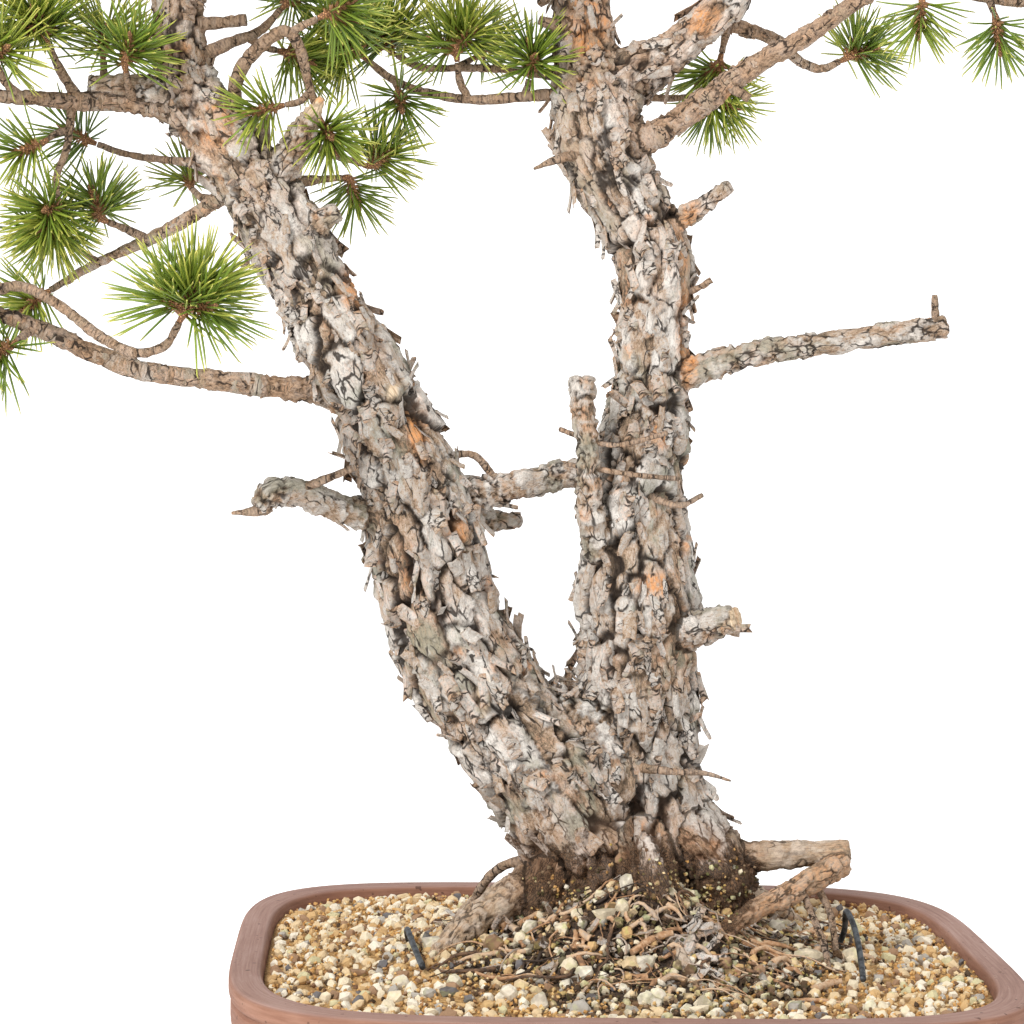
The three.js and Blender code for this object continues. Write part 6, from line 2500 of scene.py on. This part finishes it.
def soil_height(x: Array, y: Array) -> Array:
    """The soil's top at each place: the part's mound, heaped a little more before the trunks."""
    return SOIL_EDGE + PART_MOUND.rise(x, y) + FRONT_HEAP.rise(x, y)


def level_at(place: Array) -> float:
    """The soil's height at one place."""
    return float(soil_height(place[:1], place[1:])[0])


@dataclass(frozen=True)
class GrainKind:
    """A kind of loose grain.

    Attributes:
        name: The piece's name.
        count: How many there are.
        smallest: The least radius, in millimetres.
        largest: The most.
        corners: How many corners a grain's shape starts from.
        sunk: How much of its radius it sits below the soil's smooth top.
        spaced: Whether the grains keep clear of each other.
        in_damp: How likely it lies in the dark soil, next to the bright soil.
        clinging: How many more cling to the trunks' foot.
        finish: Its finish.
    """

    name: str
    count: int
    smallest: float
    largest: float
    corners: int
    sunk: float
    spaced: bool
    in_damp: float
    clinging: int
    finish: GritFinish


CRUMBS = GritFinish(
    "ochre_crumbs",
    (
        (0.0, (0.66, 0.37, 0.13)), (0.3, (0.76, 0.49, 0.2)), (0.5, (0.52, 0.27, 0.085)),
        (0.66, (0.82, 0.62, 0.34)), (0.82, (0.42, 0.22, 0.09)), (0.93, (0.2, 0.12, 0.07)),
    ),
)
GRAINS = GritFinish(
    "grit_grains",
    (
        (0.0, (0.84, 0.73, 0.53)), (0.28, (0.76, 0.58, 0.35)), (0.46, (0.66, 0.43, 0.2)),
        (0.6, (0.88, 0.8, 0.65)), (0.78, (0.46, 0.43, 0.38)), (0.84, (0.66, 0.6, 0.36)),
        (0.9, (0.36, 0.22, 0.13)), (0.97, (0.15, 0.15, 0.16)),
    ),
)
HUMUS = GritFinish(
    "humus_bits",
    (
        (0.0, (0.06, 0.04, 0.026)), (0.35, (0.12, 0.075, 0.045)), (0.6, (0.2, 0.11, 0.06)),
        (0.85, (0.3, 0.2, 0.12)),
    ),
    (0.16, 0.17, 0.05),
)


@dataclass
class Soil:
    """The soil with its grains, stones, bits and fine roots.

    Attributes:
        sides: How many corners its outline has.
        rings: How many rings its top has.
        side: Inset and height from its edge down the inside of the pot.
        kinds: The kinds of loose grain.
        tries: How many places are drawn for each kind, to pick from.
        bounds: Half the width and depth that the places are drawn from.
        trunk_feet: The x, y and radius round each trunk that stay free of grains.
        roots: How many fine roots are strewn.
        bits: How many bits of bark are strewn.
        large_bits: How many of them are large.
        loose_bits: From which on they lie in the fork.
        large_place: Where the large ones lie, and how far they scatter.
        finish: The finish of the fine fill.
    """

    sides: int = 230
    rings: int = 62
    side: tuple[Place, ...] = ((16.6, 89.2), (26.6, 40), (39.6, 23.9))
    kinds: tuple[GrainKind, ...] = (
        GrainKind("pebbles", 1150, 2.3, 4.7, 20, 0.1, True, 0.78, 16, GRAINS),
        GrainKind("grains", 2000, 1.1, 2.4, 12, 0.0, False, 0.8, 130, GRAINS),
        GrainKind("crumbs", 4700, 0.8, 1.7, 8, -0.3, False, 0.55, 420, CRUMBS),
        GrainKind("humus", 2900, 0.7, 2.6, 8, 0.0, False, 11.0, 700, HUMUS),
    )
    tries: int = 60000
    bounds: Place = (172, 160)
    trunk_feet: tuple[Place, ...] = ((-5, -4, 27), (18, 6, 29))
    roots: int = 330
    bits: int = 240
    large_bits: int = 16
    loose_bits: int = 190
    large_place: tuple[Place, Place] = ((31, -72), (4, 12))
    finish: EarthFinish = field(default_factory=EarthFinish)

    @staticmethod
    def top(x: Array, y: Array, level: Array) -> Array:
        """The fill's height: its rough top, or the profile's own height further down."""
        places = np.column_stack([x, y, 0 * x])
        rough = soil_height(x, y) - 1.6 + 0.9 * clouds(places / 6.0, 311, 3)
        rough = rough + 1.4 * clouds(places / 21.0, 317, 2)
        return np.where(level > 89, np.maximum(rough, 86), level)

    def fill(self) -> Piece:
        """The fine fill under the grains, as one body.

        Returns:
            The piece.
        """
        middle, edge = POT.half_width, self.side[0][0]
        reach = edge + (middle - edge) * (1 - np.linspace(0, 1, self.rings + 1) ** 0.8)
        profile = [(middle, self.side[-1][1]), *reversed(self.side)]
        profile += [(float(inset), 90.0) for inset in reach[::-1][1:-1]] + [(middle, 90.0)]
        piece = mesh_object("soil_fill", *POT.turned(profile, self.sides, self.top))
        points = (corner_values(piece.data, "co") - CENTRE) / MM
        mark(piece.data, "damp", damp_share(points[:, 0], points[:, 1]))
        return self.finish.dress(piece)

    @staticmethod
    def grain_shape(name: str, corners: int, number: int) -> Piece:
        """A rounded lump with few faces, radius 1 mm.

        Args:
            name: The grain's name.
            corners: How many corners it starts from.
            number: Picks its form.

        Returns:
            The shape.
        """
        random = np.random.default_rng(700 + 10 * corners + number)
        index = np.arange(corners) + 0.5
        heights = 1 - 2 * index / corners
        turns = index * 2.399963 + number
        ring = np.sqrt(1 - heights**2)
        places = np.column_stack([ring * np.cos(turns), ring * np.sin(turns), heights])
        places *= random.uniform(0.7, 1.12, (corners, 1))
        work = bmesh.new()
        for place in places:
            work.verts.new(place * MM)
        hull = bmesh.ops.convex_hull(work, input=work.verts)
        stray = {item for item in hull["geom_interior"] if isinstance(item, bmesh.types.BMVert)}
        bmesh.ops.delete(work, geom=list(stray), context="VERTS")
        for face in work.faces:
            face.smooth = False
        bmesh.ops.recalc_face_normals(work, faces=work.faces[:])
        mesh = bpy.data.meshes.new(f"{name}_{number}")
        work.to_mesh(mesh)
        work.free()
        return linked(mesh.name, mesh)

    def spots(self, kind: GrainKind, seed: int) -> list[Place]:
        """Finds a place and a radius for each grain of a kind.

        Args:
            kind: The kind.
            seed: Picks how they fall.

        Returns:
            The x, y and radius of each.
        """
        random = np.random.default_rng(seed)
        x, y = (random.uniform(-half, half, self.tries) for half in self.bounds)
        radius = kind.smallest + (kind.largest - kind.smallest) * random.beta(1.6, 2.6, self.tries)
        damp = damp_share(x, y)
        chance = 1 - damp + damp * kind.in_damp
        chance /= max(1.0, kind.in_damp)
        patches = 0.75 + 0.6 * clouds(np.column_stack([x / 24, y / 24, 0 * x + seed]), 331, 2)
        keep = (random.uniform(0, 1, self.tries) < chance * patches) & (POT.inset(x, y) > 16.9 + radius)
        for foot_x, foot_y, clear in self.trunk_feet:
            keep &= np.hypot(x - foot_x, y - foot_y) > clear
        found: list[Place] = []
        cells: dict[tuple[int, int], list[Place]] = {}
        for px, py, pr in zip(x[keep], y[keep], radius[keep]):
            if kind.spaced:
                home = (int(px // 8), int(py // 8))
                cells_near = ((home[0] + i, home[1] + j) for i in (-1, 0, 1) for j in (-1, 0, 1))
                near = [other for cell in cells_near for other in cells.get(cell, ())]
                if any(math.hypot(px - ox, py - oy) < 0.86 * (pr + r) for ox, oy, r in near):
                    continue
                cells.setdefault(home, []).append((px, py, pr))
            found.append((float(px), float(py), float(pr)))
            if len(found) == kind.count:
                break
        return found

    def grains(self, kind: GrainKind, seed: int) -> Piece:
        """Scatters one kind of grain over the soil.

        Args:
            kind: The kind.
            seed: Picks how they fall.

        Returns:
            The piece.
        """
        random = np.random.default_rng(seed + 1)
        shapes = [self.grain_shape(kind.name, kind.corners, i) for i in range(5)]
        store = shape_store(kind.name + "_shapes", shapes)
        rows = Rows()
        if kind.spaced:
            for number, stone in enumerate(STONES):
                place = np.array(VIEW.place_at(stone.pixel, soil_height))
                level = level_at(place) + 0.3 * stone.half[2]
                rows.add(
                    co=np.array([*place, level]) * MM + CENTRE, way=(0.1, -0.1, 1.0),
                    spin=0.4 * math.sin(place[0]), size=stone.half, tint=stone.hue, kind=number % 5,
                    damp=0.5,
                )
        for x, y, radius in self.spots(kind, seed):
            place = np.array([x, y])
            level = level_at(place) - kind.sunk * radius + random.uniform(-0.6, 0.9)
            rows.add(
                co=np.array([x, y, level]) * MM + CENTRE, way=unit(random.normal(size=3)),
                spin=random.uniform(0, 2 * math.pi), size=radius * random.uniform(0.66, 1.25, 3),
                tint=random.uniform(0, 1), kind=int(random.integers(0, 5)),
                damp=float(damp_share(place[:1], place[1:])[0]),
            )
        middling = 0.5 * (kind.smallest + kind.largest)
        for place in self.footholds(kind.clinging, random):
            rows.add(
                co=place, way=unit(random.normal(size=3)), spin=random.uniform(0, 2 * math.pi),
                size=random.uniform(kind.smallest, middling) * random.uniform(0.66, 1.2, 3),
                tint=random.uniform(0, 1), kind=int(random.integers(0, 5)), damp=1.0,
            )
        piece = stood_shapes(kind.name, rows, store, kind.finish)
        clear_store(store)
        log.info("%s: %d placed", kind.name, rows.count)
        return piece

    @staticmethod
    def footholds(count: int, random: np.random.Generator) -> Array:
        """Finds places where grains cling to the foot of the trunks, where soil and painted shade are
        marked.

        Args:
            count: How many.
            random: Draws them.

        Returns:
            The places in metres.
        """
        foot = bpy.data.objects["wood_foot"].data
        dirt = np.empty(len(foot.vertices), np.float32)
        foot.attributes["soiled"].data.foreach_get("value", dirt)
        places = corner_values(foot, "co")
        x, y, z = ((places - CENTRE) / MM).T
        chance = np.clip(dirt - 0.35, 0, None) ** 2 * (z > soil_height(x, y) - 1)
        picked = random.choice(len(dirt), count, replace=False, p=chance / chance.sum())
        return places[picked]

    def fine_roots(self) -> Piece:
        """Lays fine roots over the soil round the trunks.

        Returns:
            The piece.
        """
        random = np.random.default_rng(90)
        corners, edges, thickness, tints = [], [], [], []
        for bit in ROOT_BITS:
            path = [(*VIEW.place_at(pixel, soil_height), 0.0, bit.radius) for pixel in bit.pixels]
            bend = Route.through(path, 2.5).centres
            level = soil_height(bend[:, 0], bend[:, 1]) + 0.55 * bit.radius
            edges.extend((i, i + 1) for i in range(len(corners), len(corners) + len(bend) - 1))
            corners.extend(np.column_stack([bend[:, :2], level]))
            thickness.extend(bit.radius * random.uniform(0.8, 1.15, len(bend)))
            tints.extend([bit.hue] * len(bend))
        for _ in range(self.roots):
            turn = random.uniform(0, 2 * math.pi) if random.uniform() < 0.3 else random.normal(-1.4, 1.0)
            reach = random.uniform(36, 110)
            place = np.array([8 + reach * math.cos(turn), -2 + reach * math.sin(turn)])
            heading = turn + random.normal(0, 1.1)
            length = random.uniform(7, 44)
            girth = random.uniform(0.25, 0.75) if random.uniform() < 0.8 else random.uniform(0.8, 1.5)
            tint = random.uniform(0, 1)
            if reach > 52 and random.uniform() < 0.2:
                length, girth, tint = random.uniform((8, 1.2, 0.45), (20, 2.3, 0.85))
            steps = int(length / 3) + 1
            first = len(corners)
            lift = random.uniform(-0.8, 1.6)
            bow = random.uniform(0, 3.6)
            for i in range(steps):
                share = i / max(1, steps - 1)
                if POT.inset(place[0], place[1]) < 19:
                    break
                level = level_at(place) + lift + bow * math.sin(math.pi * share)
                corners.append(np.array([*place, level]))
                thickness.append(girth * (1 - 0.62 * share))
                tints.append(tint)
                heading += random.normal(0, 0.42)
                place = place + 3 * np.array([math.cos(heading), math.sin(heading)])
            edges.extend((i, i + 1) for i in range(first, len(corners) - 1))
        marks = {"thickness": np.array(thickness) * MM, "tint": np.array(tints)}
        inputs = {"Sides": 5, "Step": 0.0025, "Roughness": 0.7, "Grain": 420.0}
        inputs["Finish"] = RootFinish().material()
        return tubes("fine_roots", corners, edges, marks, inputs)

    def bark_bits(self) -> Piece:
        """Scatters fallen flakes of bark round the foot of the trunks.

        Returns:
            The piece.
        """
        random = np.random.default_rng(77)
        store = shape_store("bit_shapes", [Wood.flake_shape(i) for i in range(4)])
        rows = Rows()
        while rows.count < self.bits:
            turn, reach = random.uniform(0, 2 * math.pi), abs(random.normal(52, 26))
            place = np.array([8 + reach * math.cos(turn), -16 + reach * math.sin(turn)])
            large = rows.count < self.large_bits
            if large:
                place = random.normal(*self.large_place)
            elif POT.inset(*place) < 24 or reach < 24:
                continue
            level = level_at(place) + random.uniform(0.3, 1.8)
            in_fork = rows.count >= self.loose_bits
            if in_fork:
                place, level = random.normal(FORK[:2], (6, 7)), FORK[2] + random.uniform(-3, 5)
            least, most = (0.9, 1.3) if large else (0.3, 0.9)
            rows.add(
                co=np.array([*place, level]) * MM + CENTRE,
                way=unit(np.array([*random.normal(0, 1.6 if in_fork else 0.55, 2), 1.0])),
                spin=random.uniform(0, 2 * math.pi),
                size=random.uniform(least, most, 3) * np.array([0.9, 1.0, 1.8]),
                tint=random.uniform(0, 1), kind=int(random.integers(0, 4)),
            )
        piece = stood_shapes("fallen_bark", rows, store, BarkFinish())
        clear_store(store)
        return piece

    def build(self) -> list[Piece]:
        """Makes the soil and all that lies on it.

        Returns:
            Its pieces.
        """
        pieces = [self.fill()]
        pieces += [self.grains(kind, 400 + 20 * number) for number, kind in enumerate(self.kinds)]
        for piece in pieces:
            settle(piece, "soil", "soil")
        litter = [settle(self.fine_roots(), "bark", "soil"), settle(self.bark_bits(), "bark", "soil")]
        return [*pieces, *litter]


@dataclass
class Ties:
    """The tie wire and the nets over the drains.

    Attributes:
        radius: The wire's radius.
        finish: The wire's finish.
        net_finish: The nets' finish.
    """

    radius: float = 1.5
    finish: MottledFinish = WIRE_METAL
    net_finish: MottledFinish = NET_PLASTIC

    def build(self) -> list[Piece]:
        """Makes the wire and dresses the nets.

        Returns:
            The wire's piece.
        """
        route = Route.through([(*point, self.radius) for point in WIRE_POINTS], 2.6)
        wire = mesh_object("wire", *tube(route, 12))
        self.finish.dress(wire)
        for name in ("drain_screen_left", "drain_screen_right"):
            dress_node(name, self.net_finish)
        return [settle(wire, "wire", "tie_wire")]


def dress_node(name: str, finish: Finish) -> None:
    """Gives a carried-over node a finish, in its object's own material slots."""
    for slot in frame["nodes"][name].material_slots:
        slot.link = "OBJECT"
        slot.material = finish.material()


@dataclass
class Studio:
    """Floor, light and camera.

    Attributes:
        view: The view that the photograph shows.
        reach: The round floor's radius.
        wall: The backdrop's height.
        sides: How many sides the floor has.
        sky: How bright the light from all round is.
        lights: Each soft light's name, place and side in metres, and power in watts.
    """

    view: View = VIEW
    reach: float = 6000.0
    wall: float = 2300.0
    sides: int = 72
    sky: float = 0.42
    lights: tuple[tuple[str, Place, float, float], ...] = (
        ("key", (-1.5, -1.9, 2.1), 0.8, 88.0), ("fill", (2.4, -1.5, 1.0), 1.4, 10.0),
        ("top", (0.3, 0.4, 2.6), 1.2, 22.0),
    )

    def set_camera(self) -> None:
        """Puts the camera where the photograph was taken from."""
        side, top, forward = self.view.axes()
        turned = Matrix(np.column_stack([side, top, -forward]).tolist()).to_4x4()
        data = bpy.data.cameras.new("view")
        data.lens = self.view.lens
        data.sensor_width = self.view.sensor_width
        data.clip_end = 50.0
        camera = linked("view", data)
        place = np.array(self.view.place) * MM + CENTRE
        camera.matrix_world = Matrix.Translation(Vector(place)) @ turned
        bpy.context.scene.camera = camera

    def add_light(
        self, name: str, place: Place, size: float, power: float, target: Place = (0, 0, 0.35)
    ) -> None:
        """Adds one soft light.

        Args:
            name: Its name.
            place: Where it stands, in metres.
            size: Its side, in metres.
            power: Its power in watts.
            target: What it points at.
        """
        data = bpy.data.lights.new(name, "AREA")
        data.shape = "SQUARE"
        data.size = size
        data.energy = power
        light = linked(name, data)
        light.location = place
        way = Vector(target) - Vector(place)
        light.rotation_euler = way.to_track_quat("-Z", "Y").to_euler()

    def set_light(self) -> None:
        """Lights the plant softly from all round, a little more from the upper left."""
        scene = bpy.context.scene
        scene.view_settings.view_transform = "Standard"
        scene.view_settings.look = "None"
        world = bpy.data.worlds.new("studio")
        scene.world = world
        world.use_nodes = True
        sky = world.node_tree.nodes["Background"]
        sky.inputs["Color"].default_value = (1.0, 1.0, 1.0, 1.0)
        sky.inputs["Strength"].default_value = self.sky
        for light in self.lights:
            self.add_light(*light)

    def lay_floor(self) -> None:
        """Lays the plain pale floor and stands the low backdrop all round it."""
        count = self.sides
        turns = np.arange(count) * 2 * np.pi / count
        edge = self.reach * np.column_stack([np.cos(turns), np.sin(turns), 0 * turns])
        floor = mesh_object("studio_floor", edge, [tuple(range(count))], rounded=False)
        StudioFinish().dress(floor)
        wall = np.concatenate([edge, edge + [0, 0, self.wall]])
        panels = [(i, count + i, count + (i + 1) % count, (i + 1) % count) for i in range(count)]
        backdrop = mesh_object("studio_backdrop", wall, panels, rounded=False)
        StudioFinish("studio_backdrop", pale=(0, 0, 0), gloss=0.0, glow=1.6).dress(backdrop)

    def build(self) -> None:
        """Sets up the whole studio."""
        self.set_camera()
        self.set_light()
        self.lay_floor()


def main() -> None:
    """Builds the plant piece by piece."""
    logging.basicConfig(level=logging.INFO, format="%(message)s")
    Studio().build()
    for group in (Wood(), Sprays(), Pot(), Soil(), Ties()):
        log.info("%s", type(group).__name__)
        group.build()


if __name__ == "__main__":
    main()
